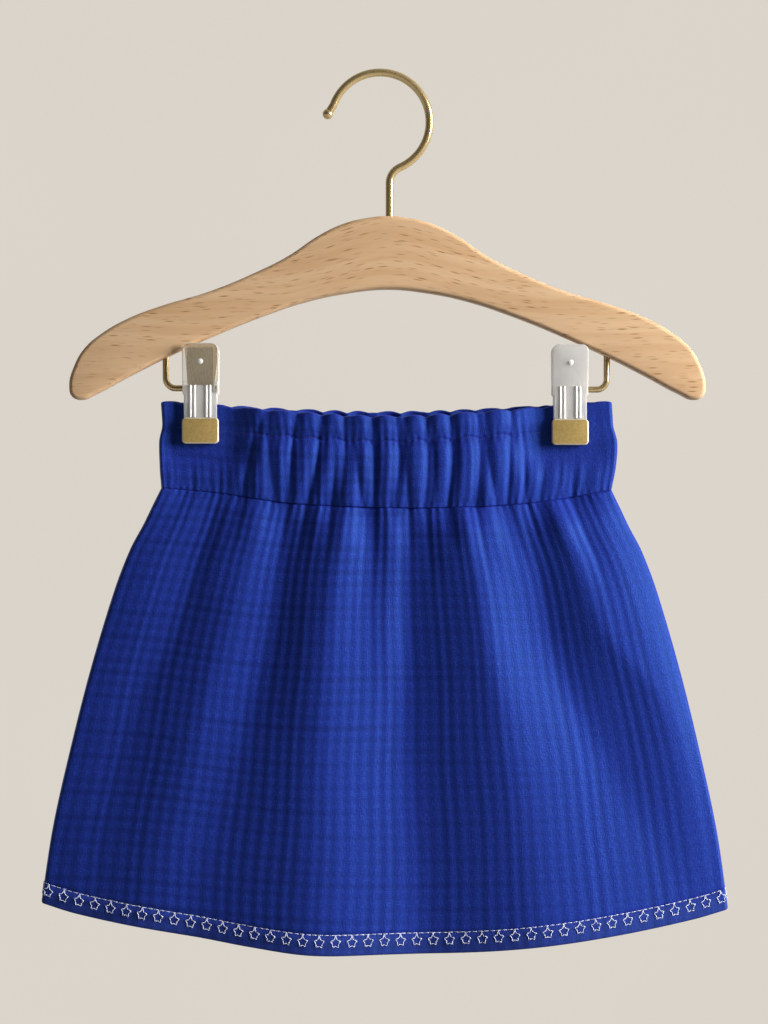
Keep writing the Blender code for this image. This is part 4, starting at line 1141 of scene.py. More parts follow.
def thread(name, colour, shade_colour):
    """Twisted polyester sewing thread: soft gloss, and plies that show as slanting lines of painted
    shade.
    """
    material, tree, shader = new_material(name)
    spot = put(tree, "ShaderNodeTexCoord")["Object"]
    slanted = put(tree, "ShaderNodeMapping", {"Vector": spot, "Rotation": (0.0, 0.8, 0.4)})[0]
    lines = {"Vector": slanted, "Scale": PLY_LINES, "Distortion": 1.0}
    plies = put(tree, "ShaderNodeTexWave", lines)["Fac"]
    # The darker colour along the ply lines is painted shade in the grooves between the plies.
    tones = {0: plies, 6: linear(shade_colour), 7: linear(colour)}
    tone = put(tree, "ShaderNodeMix", tones, data_type="RGBA")[2]
    relief = put(tree, "ShaderNodeBump", {"Height": plies, "Strength": 0.3, "Distance": 0.1 * MM})
    gloss = {"Roughness": 0.55, "Specular IOR Level": 0.35, "Sheen Weight": 0.1}
    set_inputs(tree, shader, {"Base Color": tone, "Normal": relief[0], **gloss})
    return material


white_thread = thread("white_polyester_thread", "#e2e8ff", "#bac6f2")
blue_thread = thread("blue_polyester_thread", "#16288a", "#101f6c")
print(white_thread.name, "and", blue_thread.name)

# %% [markdown]
# A place on the hem is told by how far along its curve it is and how far below the stitched line.
# The hem's own surface gives the spot and the way out of the cloth there.

# %% Places on the hem
PATH_POINTS = 4001
WAY_OUT_SPAN = 1.2 * MM


class ClothPath:
    """Places on a surface by distance along a line across it and distance down from that line."""

    def __init__(self, surface):
        self.surface = surface
        self.shares = np.linspace(-1.0, 1.0, PATH_POINTS)
        line = surface(self.shares, np.zeros_like(self.shares))
        steps = np.linalg.norm(np.diff(line, axis=0), axis=1)
        self.lengths = np.concatenate([[0.0], steps.cumsum()])
        self.long = self.lengths[-1]

    def at(self, places):
        """The points at places (along, below)."""
        return self.surface(np.interp(places[:, 0], self.lengths, self.shares), places[:, 1])

    def ways_out(self, places, side):
        """The ways out of the cloth at places, over a small span."""
        steps = np.array([[WAY_OUT_SPAN, 0.0], [0.0, WAY_OUT_SPAN]])
        across, down = (self.at(places + step) - self.at(places - step) for step in steps)
        outs = np.cross(across, down)
        outs /= np.linalg.norm(outs, axis=1)[:, None]
        return outs * np.sign(outs[:, 1:2] * side)

    def stitches(self, pairs, side):
        """Starts, ends and ways out of stitches between pairs of places (along, below)."""
        starts, ends = np.array(pairs, float).transpose(1, 0, 2)
        return self.at(starts), self.at(ends), self.ways_out((starts + ends) / 2, side)


def hem_path(side):
    """The stitched line of one hem."""

    def surface(share, below):
        starts = hem_starts(share)
        down = starts + (1.0 - starts) * below / HEM_DEEP
        return skirt_surface(share, down, 0.0, side, (share + 1) / 2, hem=True)[0]

    return ClothPath(surface)


hem_paths = {side: hem_path(side) for side, _ in SIDE_NAMES}
print("hem line", round(hem_paths[FRONT].long, 4), "m long")

# %% [markdown]
# ### Star border
# Little outlined stars hang from the line, each by a short loop. A star is ten stitches between its
# five points and the five hollows between them. All its points but the top one are sewn twice, which
# makes them thick.

# %% Sew the hem
STARS = 45
STAR_RADIUS = 2.55 * MM
STAR_HOLLOW = 0.6
STAR_FEET = (4, 5, 6)
STAR_FOOT_SPREAD = 0.88
STAR_TOP_BELOW_LINE = 1.0 * MM
STAR_THICK_POINTS = (2, 4, 6, 8)
STAR_THICK_SHARE = 0.55
LOOP_STARTS = 0.1 * MM
LOOP_HALF_WIDTH = 0.35 * MM
LOOP_INTO_STAR = 0.3 * MM
LINE_DASH = 2.35 * MM
LINE_GAP = 0.45 * MM
LINE_BELOW = 0.15 * MM
END_MARGIN = 1.2 * MM
HEM_THREAD = {"Thread radius": 0.23 * MM, "Rise": 0.24 * MM, "Sink": -0.14 * MM}


def star_corner(i):
    """Corner i of a star's ten, as (across, below the line). Even ones are points, odd ones hollows."""
    angle = pi / 2 - pi / 5 * i
    radius = STAR_RADIUS * (1.0 if i % 2 == 0 else STAR_HOLLOW)
    spread = STAR_FOOT_SPREAD if i in STAR_FEET else 1.0
    down = STAR_RADIUS - radius * sin(angle)
    return radius * cos(angle) * spread, STAR_TOP_BELOW_LINE + down


def star_stitches():
    """The stitches of a star and its loop, as pairs of (across, below the line)."""
    corners = [star_corner(i) for i in range(10)]
    pairs = list(zip(corners, corners[1:] + corners[:1]))
    for sign in (-1, 1):
        foot = (sign * LOOP_HALF_WIDTH, corners[0][1] + LOOP_INTO_STAR)
        pairs.append(((0.0, LOOP_STARTS), foot))
    for i in STAR_THICK_POINTS:
        (x, y), (next_x, next_y) = corners[i], corners[i + 1]
        inward = (x + (next_x - x) * STAR_THICK_SHARE, y + (next_y - y) * STAR_THICK_SHARE)
        pairs.append(((x, y), inward))
    return pairs


def sew_hem(side, word):
    """All the white stitches of one side."""
    path = hem_paths[side]
    pairs = []
    along = END_MARGIN
    while along + LINE_DASH < path.long - END_MARGIN:
        pairs.append(((along, LINE_BELOW), (along + LINE_DASH, LINE_BELOW)))
        along += LINE_DASH + LINE_GAP
    pattern = star_stitches()
    for star in range(STARS):
        centre = path.long / STARS * (star + 0.5)
        pairs += [((centre + x0, y0), (centre + x1, y1)) for (x0, y0), (x1, y1) in pattern]
    return sewn(f"hem_stitches_{word}", path.stitches(pairs, side), white_thread, **HEM_THREAD)


hem_stitches = {side: sew_hem(side, word) for side, word in SIDE_NAMES}

# %% [markdown]
# ### Header stitches
# A row of blue machine stitches holds the ruffle apart from the casing. They lie in their own groove.

# %% Sew the header
HEADER_DASH = 2.3 * MM
HEADER_STEP = 3.1 * MM
HEADER_THREAD = {"Thread radius": 0.2 * MM, "Rise": 0.12 * MM, "Sink": -0.15 * MM}


def header_path(side):
    """The header's line of stitches on one half of the band."""

    def points(share, down):
        return band_surface(share, down, False, side, (share + 1) / 2)[0]

    def surface(share, below):
        top, low = points(share, np.zeros_like(share)), points(share, np.ones_like(share))
        return points(share, (HEADER_STITCHES_DOWN + below) / (top - low)[:, 2])

    return ClothPath(surface)


def sew_header(side, word):
    """The blue stitches of one side."""
    path = header_path(side)
    starts = np.arange(HEADER_STEP, path.long - HEADER_STEP - HEADER_DASH, HEADER_STEP)
    pairs = [((along, 0.0), (along + HEADER_DASH, 0.0)) for along in starts]
    stitches = path.stitches(pairs, side)
    return sewn(f"header_stitches_{word}", stitches, blue_thread, **HEADER_THREAD)


header_stitches = {side: sew_header(side, word) for side, word in SIDE_NAMES}

# %% Ride and replace
for side, word in SIDE_NAMES:
    band, panel, hem = bands[side], panels[side], hems[side]
    for piece, node in ((band, "waistband"), (panel, "skirt"), (hem, "hem")):
        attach(piece, BODY)
        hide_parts(f"{node}_{word}")
    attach(hem_stitches[side], BODY)
    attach(header_stitches[side], BODY)

# %% [markdown]
# ## Wood, wire and clips
# The hanger is hard, so its pieces come from outlines and routes. A curve or a piece that is cut is
# first made a plain mesh at the origin, its loose caps are welded and its faces turned outwards.

# %% Hard-piece helpers
WELD = 0.001 * MM
HARD_EDGE = radians(32)
CUT_OVERSHOOT = 5.0 * MM
FIT_GAP = 0.3 * MM


def settled(obj):
    """A plain mesh object in place of a curve or of an object with modifiers."""
    mesh = plain_mesh(obj)
    with edited(mesh) as shape:
        bmesh.ops.remove_doubles(shape, verts=shape.verts, dist=WELD)
        shape.transform(obj.matrix_world)
        bmesh.ops.recalc_face_normals(shape, faces=shape.faces)
    mesh.shade_smooth()
    mesh.set_sharp_from_angle(angle=HARD_EDGE)
    name = obj.name
    bpy.data.objects.remove(obj)
    mesh.name = name
    return add_object(name, mesh)


def mesh_object(name, shape):
    """An object of a bmesh, which is freed."""
    mesh = bpy.data.meshes.new(name)
    shape.to_mesh(mesh)
    shape.free()
    return add_object(name, mesh)


def rod(name, radius, start, end, sides=32):
    """A round rod between two points."""
    start, end = Vector(start), Vector(end)
    turn = (end - start).to_track_quat("Z", "Y").to_matrix().to_4x4()
    place = Matrix.Translation((start + end) / 2) @ turn
    sizes = {"radius1": radius, "radius2": radius, "depth": (end - start).length}
    shape = bmesh.new()
    bmesh.ops.create_cone(shape, cap_ends=True, segments=sides, matrix=place, **sizes)
    return mesh_object(name, shape)


def block(name, low, high):
    """A box between two corners."""
    middle = [(a + b) / 2 for a, b in zip(low, high)]
    sizes = [b - a for a, b in zip(low, high)]
    place = Matrix.Translation(middle) @ Matrix.Diagonal((*sizes, 1.0))
    shape = bmesh.new()
    bmesh.ops.create_cube(shape, size=1.0, matrix=place)
    return mesh_object(name, shape)


def worked(obj, *tools):
    """The object after each (operation, tool) has cut it or joined it. The tools are removed."""
    for operation, tool in tools:
        modifier = obj.modifiers.new(tool.name, "BOOLEAN")
        modifier.object = tool
        modifier.operation = operation
        modifier.solver = "EXACT"
    made = settled(obj)
    for _, tool in tools:
        bpy.data.objects.remove(tool)
    return made


def wire(name, route, thick, material, swell=None):
    """A round wire along a list of points. swell is each point's share of the thickness."""
    curve = bpy.data.curves.new(name, "CURVE")
    curve.dimensions = "3D"
    curve.bevel_depth = thick / 2
    curve.bevel_resolution = 6
    curve.use_fill_caps = True
    spline = curve.splines.new("POLY")
    spline.points.add(len(route) - 1)
    for i, (knot, place) in enumerate(zip(spline.points, route)):
        knot.co = (*place, 1.0)
        knot.radius = swell[i] if swell else 1.0
    made = settled(add_object(name, curve))
    made.data.materials.append(material)
    print(name, len(made.data.polygons), "faces")
    return made


def stands_for(piece, slot, *nodes):
    """A finished hard piece rides on the body and replaces its solids."""
    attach(piece, BODY)
    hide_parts(*nodes)


print("hard-piece helpers ready")

# %% [markdown]
# ### Beech
# The arm is pale beech, sawn flat, sanded and given a thin satin lacquer. What tells the eye that it is
# beech is the fleck: short dark rays, a few millimetres long and half a millimetre thick, that lie
# along the grain. Long faint bands of warmer and paler tone run the same way. Near the middle of the
# arm the grain arches a little.

# %% Grain of the beech
ARM_MIDDLE_X = 3.5 * MM
FLECK_CELL = (8.5 * MM, 1.0 * MM, 1.0 * MM)
GRAIN_ARCH = 13.0 * MM
GRAIN_ARCH_REACH = 38.0 * MM
GRAIN_SWAY = 5.0 * MM


def beech_grain(tree, spot):
    """A place in the wood along its arched and swaying grain, which runs along X, in fleck cells."""
    to_middle = {"Vector": spot, "Location": (-ARM_MIDDLE_X, 0.0, 0.0)}
    centred = put(tree, "ShaderNodeMapping", to_middle)[0]
    axes = put(tree, "ShaderNodeSeparateXYZ", {0: centred})
    reach = {0: axes["X"], 1: GRAIN_ARCH_REACH}
    share = put(tree, "ShaderNodeMath", reach, operation="DIVIDE")[0]
    square = put(tree, "ShaderNodeMath", {0: share, 1: share}, operation="MULTIPLY")[0]
    fall = put(tree, "ShaderNodeMath", {0: square, 1: -1.0}, operation="MULTIPLY")[0]
    hump = put(tree, "ShaderNodeMath", {0: fall}, operation="EXPONENT")[0]
    arched = {0: hump, 1: -GRAIN_ARCH, 2: axes["Z"]}
    level = put(tree, "ShaderNodeMath", arched, operation="MULTIPLY_ADD")[0]
    sway = put(tree, "ShaderNodeTexNoise", {"Vector": spot, "Scale": 18.0, "Detail": 1.0})["Fac"]
    swayed = {0: sway, 1: GRAIN_SWAY, 2: level}
    height = put(tree, "ShaderNodeMath", swayed, operation="MULTIPLY_ADD")[0]
    along = put(tree, "ShaderNodeCombineXYZ", {"X": axes["X"], "Y": axes["Y"], "Z": height})[0]
    scale = [1.0 / size for size in FLECK_CELL]
    return put(tree, "ShaderNodeMapping", {"Vector": along, "Scale": scale})[0]


print("the grain arches up by", GRAIN_ARCH * 1000, "mm")

# %% Beech material
BEECH_TONE = "#edc9a2"
BEECH_WARM = "#d2a476"
BEECH_PALE = "#e2c19c"
BEECH_FLECK = "#9c6a3a"
FLECK_OF_CELL = {"From Min": 0.42, "From Max": 0.06, "To Max": 0.95}
WARM_BANDS = (0.09, 0.4, 0.22)
WARM_SHOWS = {"From Min": 0.38, "From Max": 0.68, "To Max": 0.6}
PALE_LINES = (0.12, 1.6, 1.9)
PALE_SHOWS = {"From Min": 0.45, "From Max": 0.75, "To Max": 0.55}


def beech_wood(name):
    """Satin-lacquered beech."""
    material, tree, shader = new_material(name)
    spot = put(tree, "ShaderNodeTexCoord")["Object"]
    grain = beech_grain(tree, spot)
    cells = put(tree, "ShaderNodeTexVoronoi", {"Vector": grain, "Scale": 1.0})
    ray = {"Value": cells["Distance"], **FLECK_OF_CELL}
    fleck = put(tree, "ShaderNodeMapRange", ray, interpolation_type="SMOOTHSTEP")[0]
    strength = put(tree, "ShaderNodeSeparateColor", {0: cells["Color"]})[0]
    uneven_fleck = put(tree, "ShaderNodeMath", {0: fleck, 1: strength}, operation="MULTIPLY")[0]
    layers = []
    for stretch, detail, shows in ((WARM_BANDS, 4.0, WARM_SHOWS), (PALE_LINES, 3.0, PALE_SHOWS)):
        place = put(tree, "ShaderNodeMapping", {"Vector": grain, "Scale": stretch})[0]
        noise = {"Vector": place, "Scale": 1.0, "Detail": detail}
        patch = put(tree, "ShaderNodeTexNoise", noise)["Fac"]
        layers.append(put(tree, "ShaderNodeMapRange", {"Value": patch, **shows})[0])
    tone = linear(BEECH_TONE)
    for share, colour in zip((*layers, uneven_fleck), (BEECH_WARM, BEECH_PALE, BEECH_FLECK)):
        tone = put(tree, "ShaderNodeMix", {0: share, 6: tone, 7: linear(colour)}, data_type="RGBA")[2]
    dents = {"Height": uneven_fleck, "Strength": 0.15, "Distance": -0.1 * MM}
    relief = put(tree, "ShaderNodeBump", dents)[0]
    lacquer = {"Roughness": 0.5, "Specular IOR Level": 0.3}
    set_inputs(tree, shader, {"Base Color": tone, "Normal": relief, **lacquer})
    return material


beech = beech_wood("satin_lacquered_beech")
print(beech.name)

# %% [markdown]
# ### Brass and plastic
# The hook and the clip wires are drawn wire with a brass finish, smooth enough to mirror the room softly.
# The pads are stamped sheet with a matt gold finish that is paler along the rounded edge of its face.
# The spring leaves are duller. The right clip is a paler copy of the left one: its leaves are pale and
# its jaws clouded, as painted reflection of the bright light on that side. The jaws are clear moulded
# plastic, on both clips milkier in the ribs, at the rim and at the foot. The milky parts carry a faint
# painted glow, an emission that stands in for light scattered through them.

# %% Metal and plastic materials
PLASTIC_IOR = 1.49
# Strength of the painted glow of milky plastic: emission that stands in for light scattered through it.
PAINTED_GLOW = 0.05


def metal(name, colour, shade_colour, metallic, roughness, grain_mm, pale_edge_colour=None):
    """A metal finish. Its tone and roughness vary along a fine drawn or brushed grain."""
    material, tree, shader = new_material(name)
    spot = put(tree, "ShaderNodeTexCoord")["Object"]
    scale = [1.0 / (size * MM) for size in grain_mm]
    brushed = put(tree, "ShaderNodeMapping", {"Vector": spot, "Scale": scale})[0]
    noise = {"Vector": brushed, "Scale": 1.0, "Detail": 2.0}
    grain = put(tree, "ShaderNodeTexNoise", noise)["Fac"]
    mottle = put(tree, "ShaderNodeMapRange", {"Value": grain, "From Min": 0.35, "From Max": 0.65})
    tones = {0: mottle[0], 6: linear(shade_colour), 7: linear(colour)}
    tone = put(tree, "ShaderNodeMix", tones, data_type="RGBA")[2]
    # Where a pale edge colour is given, it goes on the faces marked pale_edge.
    if pale_edge_colour:
        edge = put(tree, "ShaderNodeAttribute", attribute_name="pale_edge")["Fac"]
        tone = put(tree, "ShaderNodeMix", {0: edge, 6: tone, 7: linear(pale_edge_colour)}, data_type="RGBA")[2]
    gloss = {"Value": grain, "To Min": roughness - 0.06, "To Max": roughness + 0.06}
    rough = put(tree, "ShaderNodeMapRange", gloss)[0]
    relief = put(tree, "ShaderNodeBump", {"Height": grain, "Strength": 0.1, "Distance": 0.05 * MM})
    finish = {"Base Color": tone, "Roughness": rough, "Metallic": metallic}
    set_inputs(tree, shader, {**finish, "Normal": relief[0]})
    return material


def moulded_plastic(name, colour, roughness, milkiness_and_glow):
    """Moulded plastic with faint flow marks. Where marked it is milkier, with a faint painted glow."""
    material, tree, shader = new_material(name)
    spot = put(tree, "ShaderNodeTexCoord")["Object"]
    flow = put(tree, "ShaderNodeTexNoise", {"Vector": spot, "Scale": 160.0, "Detail": 1.0})["Fac"]
    relief = put(tree, "ShaderNodeBump", {"Height": flow, "Strength": 0.08, "Distance": 0.2 * MM})
    cloudy = put(tree, "ShaderNodeAttribute", attribute_name="cloudy")["Fac"]
    milky_and_glowing = put(tree, "ShaderNodeMath", {0: cloudy, 1: milkiness_and_glow}, operation="MAXIMUM")[0]
    clear = put(tree, "ShaderNodeMath", {0: 1.0, 1: milky_and_glowing}, operation="SUBTRACT")[0]
    # The emission is painted glow, as strong as the plastic is milky.
    glow = put(tree, "ShaderNodeMath", {0: milky_and_glowing, 1: PAINTED_GLOW}, operation="MULTIPLY")[0]
    body = {"Base Color": linear(colour), "Roughness": roughness, "IOR": PLASTIC_IOR}
    light = {"Transmission Weight": clear, "Emission Strength": glow, "Emission Color": linear(colour)}
    set_inputs(tree, shader, {**body, **light, "Normal": relief[0]})
    return material


brass_wire = metal("satin_brass_wire", "#cbb587", "#c4ad7d", 0.65, 0.26, (0.4, 0.4, 6.0))
pad_brass = metal("matt_gold_pad", "#c8ac6c", "#b89f62", 0.35, 0.5, (1.0, 1.0, 1.0), "#dcd5c2")
leaf_brass = metal("dull_spring_leaf", "#c6b89c", "#b3a283", 0.45, 0.45, (0.6, 0.6, 3.0))
# The right clip's leaves are a paler copy of the left's: painted reflection of the bright light on that
# side.
leaf_painted_reflection = metal("pale_spring_leaf", "#d2ccd4", "#c4bcc8", 0.25, 0.45, (0.6, 0.6, 3.0))
# Both plastics have painted glow where they are milky.
clear_jaw = moulded_plastic("clear_moulded_plastic", "#f7f8f8", 0.05, 0.0)
# The right clip's jaws are a clouded copy of the clear ones: painted reflection of the bright light
# there.
jaw_painted_reflection = moulded_plastic("clouded_moulded_plastic", "#fafafa", 0.3, 0.5)
print("metals and plastics ready")

# %% [markdown]
# ### Hanger arm
# One board, cut to an arched outline and rounded over along its edges. The outline is a smooth closed
# curve through a few measured points, mirrored about the middle, and filled to the board's thickness.

# %% Outline of the arm, and the sizes of the wires
ARM_TOP_Z = -66.2 * MM
ARM_THICK = 12.0 * MM
ARM_EDGE_ROUND = 2.0 * MM
ARM_STEPS_PER_POINT = 8
ARM_UPPER_EDGE = table(
    "out_mm drop_mm",
    (0.0, 0.0),
    (10.0, 1.0),
    (20.0, 3.4),
    (32.0, 9.0),
    (47.0, 19.0),
    (63.0, 27.0),
    (84.0, 35.6),
    (106.0, 42.2),
    (122.0, 48.2),
    (135.0, 55.6),
    (143.0, 62.6),
    (148.0, 71.5),
    (150.0, 80.0),
)
ARM_LOWER_EDGE = table(
    "out_mm drop_mm",
    (0.0, 34.4),
    (19.0, 36.2),
    (38.0, 40.2),
    (58.0, 46.8),
    (80.0, 55.6),
    (103.0, 66.0),
    (122.0, 75.6),
    (137.0, 83.6),
    (144.5, 86.6),
    (148.6, 85.2),
)
HOOK_WIRE = 3.8 * MM
HOOK_RADIUS = 23.4 * MM
HOOK_STARTS = radians(160)
HOOK_ENDS = radians(-66)
HOOK_BEND_RADIUS = 8.4 * MM
HOOK_TIP_TURN = radians(12)
HOOK_TIP_LENGTH = 5.0 * MM
HOOK_STEM_IN_ARM = 18.0 * MM
HOOK_ARC_STEPS = 90
HOOK_BEND_STEPS = 24
CLIP_WIRE = 3.0 * MM
CLIP_WIRE_BEND = 4.7 * MM
CLIP_WIRE_IN_ARM = 9.0 * MM
CLIP_WIRE_PAST_MIDDLE = 7.4 * MM


def hook_tip_way():
    """The way (x, z) that the wire runs at its tip."""
    angle = HOOK_STARTS - HOOK_TIP_TURN
    return -sin(angle), cos(angle)


def hook_route():
    """Points along the hook's wire, from its ball tip to the end of its stem."""
    middle_z = -(HOOK_RADIUS - HOOK_WIRE / 2)
    tip_x, tip_z = (HOOK_TIP_LENGTH * way for way in hook_tip_way())
    start_x, start_z = HOOK_RADIUS * cos(HOOK_STARTS), middle_z + HOOK_RADIUS * sin(HOOK_STARTS)
    route = [(start_x + tip_x, 0.0, start_z + tip_z)]
    for i in range(HOOK_ARC_STEPS + 1):
        angle = HOOK_STARTS + (HOOK_ENDS - HOOK_STARTS) * i / HOOK_ARC_STEPS
        route.append((HOOK_RADIUS * cos(angle), 0.0, middle_z + HOOK_RADIUS * sin(angle)))
    reach = HOOK_RADIUS + HOOK_BEND_RADIUS
    bend_x, bend_z = reach * cos(HOOK_ENDS), middle_z + reach * sin(HOOK_ENDS)
    for i in range(1, HOOK_BEND_STEPS + 1):
        angle = pi + HOOK_ENDS * (1.0 - i / HOOK_BEND_STEPS)
        x, z = HOOK_BEND_RADIUS * cos(angle), HOOK_BEND_RADIUS * sin(angle)
        route.append((bend_x + x, 0.0, bend_z + z))
    route.append((route[-1][0], 0.0, ARM_TOP_Z - HOOK_STEM_IN_ARM))
    return route


def clip_wire_top(clip):
    """Height of the end of a clip's wire, inside the arm."""
    out = abs(clip.wire_x_mm * MM - ARM_MIDDLE_X)
    return ARM_TOP_Z - float(read_off(ARM_LOWER_EDGE, "out_mm", "drop_mm", out)) + CLIP_WIRE_IN_ARM


print("the arm is", 2 * ARM_UPPER_EDGE[-1].out_mm, "mm wide")

# %% Make the arm
def arm_board():
    """The uncut board: a flat curve, filled and rounded over."""
    half = ARM_UPPER_EDGE + ARM_LOWER_EDGE[::-1]
    right = [(point.out_mm * MM, -point.drop_mm * MM) for point in half]
    outline = right + [(-x, z) for x, z in reversed(right[1:-1])]
    curve = bpy.data.curves.new("hanger_arm_board", "CURVE")
    curve.dimensions = "2D"
    curve.fill_mode = "BOTH"
    curve.extrude = ARM_THICK / 2 - ARM_EDGE_ROUND
    curve.bevel_depth = ARM_EDGE_ROUND
    curve.bevel_resolution = 5
    curve.offset = -ARM_EDGE_ROUND
    spline = curve.splines.new("BEZIER")
    spline.bezier_points.add(len(outline) - 1)
    spline.resolution_u = ARM_STEPS_PER_POINT
    spline.use_cyclic_u = True
    for knot, (x, z) in zip(spline.bezier_points, outline):
        knot.co = (ARM_MIDDLE_X + x, ARM_TOP_Z + z, 0.0)
        knot.handle_left_type = knot.handle_right_type = "AUTO"
    board = add_object("hanger_arm_board", curve)
    board.rotation_euler = (pi / 2, 0.0, 0.0)
    return settled(board)


def make_arm():
    """The arm, with a bore for the hook and one for each clip wire."""
    stem_x = hook_route()[-1][0]
    low, high = ARM_TOP_Z - HOOK_STEM_IN_ARM - FIT_GAP, ARM_TOP_Z + CUT_OVERSHOOT
    bores = [rod("hook_bore", HOOK_WIRE / 2 + FIT_GAP, (stem_x, 0, low), (stem_x, 0, high))]
    for clip in CLIPS:
        x, top = clip.wire_x_mm * MM, clip_wire_top(clip)
        start = (x, 0, top + FIT_GAP)
        end = (x, 0, top - CLIP_WIRE_IN_ARM - CUT_OVERSHOOT)
        bores.append(rod(f"clip_bore_{clip.name}", CLIP_WIRE / 2 + FIT_GAP, start, end))
    board = worked(arm_board(), *[("DIFFERENCE", bore) for bore in bores])
    board.data.materials.clear()
    board.data.materials.append(beech)
    return board


arm = make_arm()
stands_for(arm, "beech", "hanger_arm")
print("arm", len(arm.data.polygons), "faces")

# %% [markdown]
# ### Hook and clip wires
# A wire is a curve with a round section along a route of arcs. The hook's first points swell into the
# little ball that keeps the tip from scratching.

# %% Make the wires
HOOK_BALL = 1.32
HOOK_BALL_STARTS = radians(4)
HOOK_BALL_STEPS = 16
WIRE_BEND_STEPS = 18


def make_hook():
    """The hook, from its ball tip to its stem."""
    route = hook_route()
    ball_radius = HOOK_BALL * HOOK_WIRE / 2
    toward = hook_tip_way()
    first, last = HOOK_BALL_STARTS, pi - asin(1.0 / HOOK_BALL)
    ball, swell = [], []
    for i in range(HOOK_BALL_STEPS):
        angle = first + (last - first) * i / (HOOK_BALL_STEPS - 1)
        back = ball_radius * cos(angle)
        ball.append((route[0][0] + toward[0] * back, 0.0, route[0][2] + toward[1] * back))
        swell.append(HOOK_BALL * sin(angle))
    swell += [1.0] * (len(route) - 1)
    return wire("hook_wire", ball + route[1:], HOOK_WIRE, brass_wire, swell)


def make_clip_wire(clip):
    """The L-shaped wire: down out of the arm, round a bend and level through the clip."""
    x, z = clip.wire_x_mm * MM, clip.wire_z_mm * MM
    inward = 1.0 if clip.middle_x_mm > clip.wire_x_mm else -1.0
    route = [(x, 0.0, clip_wire_top(clip))]
    for i in range(WIRE_BEND_STEPS + 1):
        angle = pi / 2 * i / WIRE_BEND_STEPS
        across = CLIP_WIRE_BEND * (1.0 - cos(angle))
        down = CLIP_WIRE_BEND * (1.0 - sin(angle))
        route.append((x + inward * across, 0.0, z + down))
    route.append((clip.middle_x_mm * MM + inward * CLIP_WIRE_PAST_MIDDLE, 0.0, z))
    return wire(f"clip_wire_fine_{clip.name}", route, CLIP_WIRE, brass_wire)


stands_for(make_hook(), "brass_wire", "hook")
for clip in CLIPS:
    stands_for(make_clip_wire(clip), "brass_wire", f"clip_wire_{clip.name}")

# %% [markdown]
# ### Clips
# Each clip has two clear jaws that rock about the wire, a spring leaf behind each, and a metal pad on
# each jaw's foot. A jaw is one moulding: a plate that flares open at the top, two cheeks round the
# wire, half-round ribs down its lower half and a small rivet head. All three pieces are made once,
# in front, and turned half round for the back.

# %% Clip outlines
JAW_WIDTH = 17.0 * MM
JAW_LOW_WIDTH = 15.6 * MM
JAW_TOP = 21.0 * MM
JAW_STEP_DOWN = -2.6 * MM
JAW_CORNER = 3.2 * MM
JAW_INNER_Y = 3.75 * MM
JAW_THICK = 1.8 * MM
JAW_IN_PAD = 6.0 * MM
JAW_EDGE = 0.6 * MM
JAW_FLARE = radians(12)
JAW_FLARE_FROM = 1.5 * MM
CORNER_STEPS = 8


def rounded(corners):
    """An outline whose corners (x, z, radius) are rounded."""
    outline = []
    for i, (x, z, radius) in enumerate(corners):
        if not radius:
            outline.append((x, z))
            continue
        arms = []
        for other in (corners[i - 1], corners[(i + 1) % len(corners)]):
            reach = hypot(other[0] - x, other[1] - z)
            arms.append(((other[0] - x) / reach * radius, (other[1] - z) / reach * radius))
        for k in range(CORNER_STEPS + 1):
            angle = pi / 2 * k / CORNER_STEPS
            first, second = 1.0 - sin(angle), 1.0 - cos(angle)
            across = x + arms[0][0] * first + arms[1][0] * second
            outline.append((across, z + arms[0][1] * first + arms[1][1] * second))
    return outline


def mirrored(corners):
    """A whole outline from the corners of its left half, listed from the top."""
    return corners + [(-x, z, radius) for x, z, radius in reversed(corners)]


def plate(name, corners, inner_y, thick, edge, segments=3):
    """A plate in front of the wire, with rounded corners and edges."""
    shape = bmesh.new()
    points = [shape.verts.new((x, -inner_y, z)) for x, z in rounded(mirrored(corners))]
    face = shape.faces.new(points)
    for grown in bmesh.ops.extrude_face_region(shape, geom=[face])["geom"]:
        if isinstance(grown, bmesh.types.BMVert):
            grown.co.y -= thick
    bmesh.ops.recalc_face_normals(shape, faces=shape.faces)
    flat = [e for e in shape.edges if abs(e.verts[0].co.y - e.verts[1].co.y) < WELD]
    rounding = {"offset": edge, "segments": segments, "profile": 0.5, "clamp_overlap": True}
    bmesh.ops.bevel(shape, geom=flat, affect="EDGES", **rounding)
    return mesh_object(name, shape)


def flared(z):
    """How far a jaw stands further out at a height above its pivot, as its handle stands open."""
    return max(z - JAW_FLARE_FROM, 0.0) * tan(JAW_FLARE)


def flare(obj):
    """Bend a clip piece outwards above its pivot."""
    with edited(obj.data) as shape:
        bend = {"plane_co": (0, 0, JAW_FLARE_FROM), "plane_no": (0, 0, 1)}
        everything = shape.verts[:] + shape.edges[:] + shape.faces[:]
        bmesh.ops.bisect_plane(shape, geom=everything, dist=WELD, **bend)
        for vert in shape.verts:
            vert.co.y -= flared(vert.co.z)


print("a jaw's handle stands", round(flared(JAW_TOP) * 1000, 1), "mm open at its top")

# %% Jaw
CHEEK_WIDTH = 1.2 * MM
CHEEK_HEIGHT = 6.6 * MM
CHEEK_INNER_Y = 0.45 * MM
CHEEK_SUNK = 0.8 * MM
CHEEK_INSET = 0.1 * MM
PIN_RADIUS = 1.4 * MM
PIN_HEIGHT = 12.5 * MM
PIN_SQUAT = 0.45
RIBS_AT = (-4.7 * MM, -2.8 * MM, 2.8 * MM, 4.5 * MM)
RIB_RADIUS = 0.65 * MM
RIB_TOP = 1.4 * MM
RIB_ENDS_ABOVE_PAD = 0.2 * MM
PROUD = 0.02 * MM
# The ribs and the rim are milkier so that they show light as the highlights on them do; every milky face
# also gets painted glow.
RIB_MILK_AND_GLOW = 0.875
RIM_MILK_AND_GLOW = 0.45
FOOT_MILK_AND_GLOW = 0.5
JAW_FACE = JAW_INNER_Y + JAW_THICK


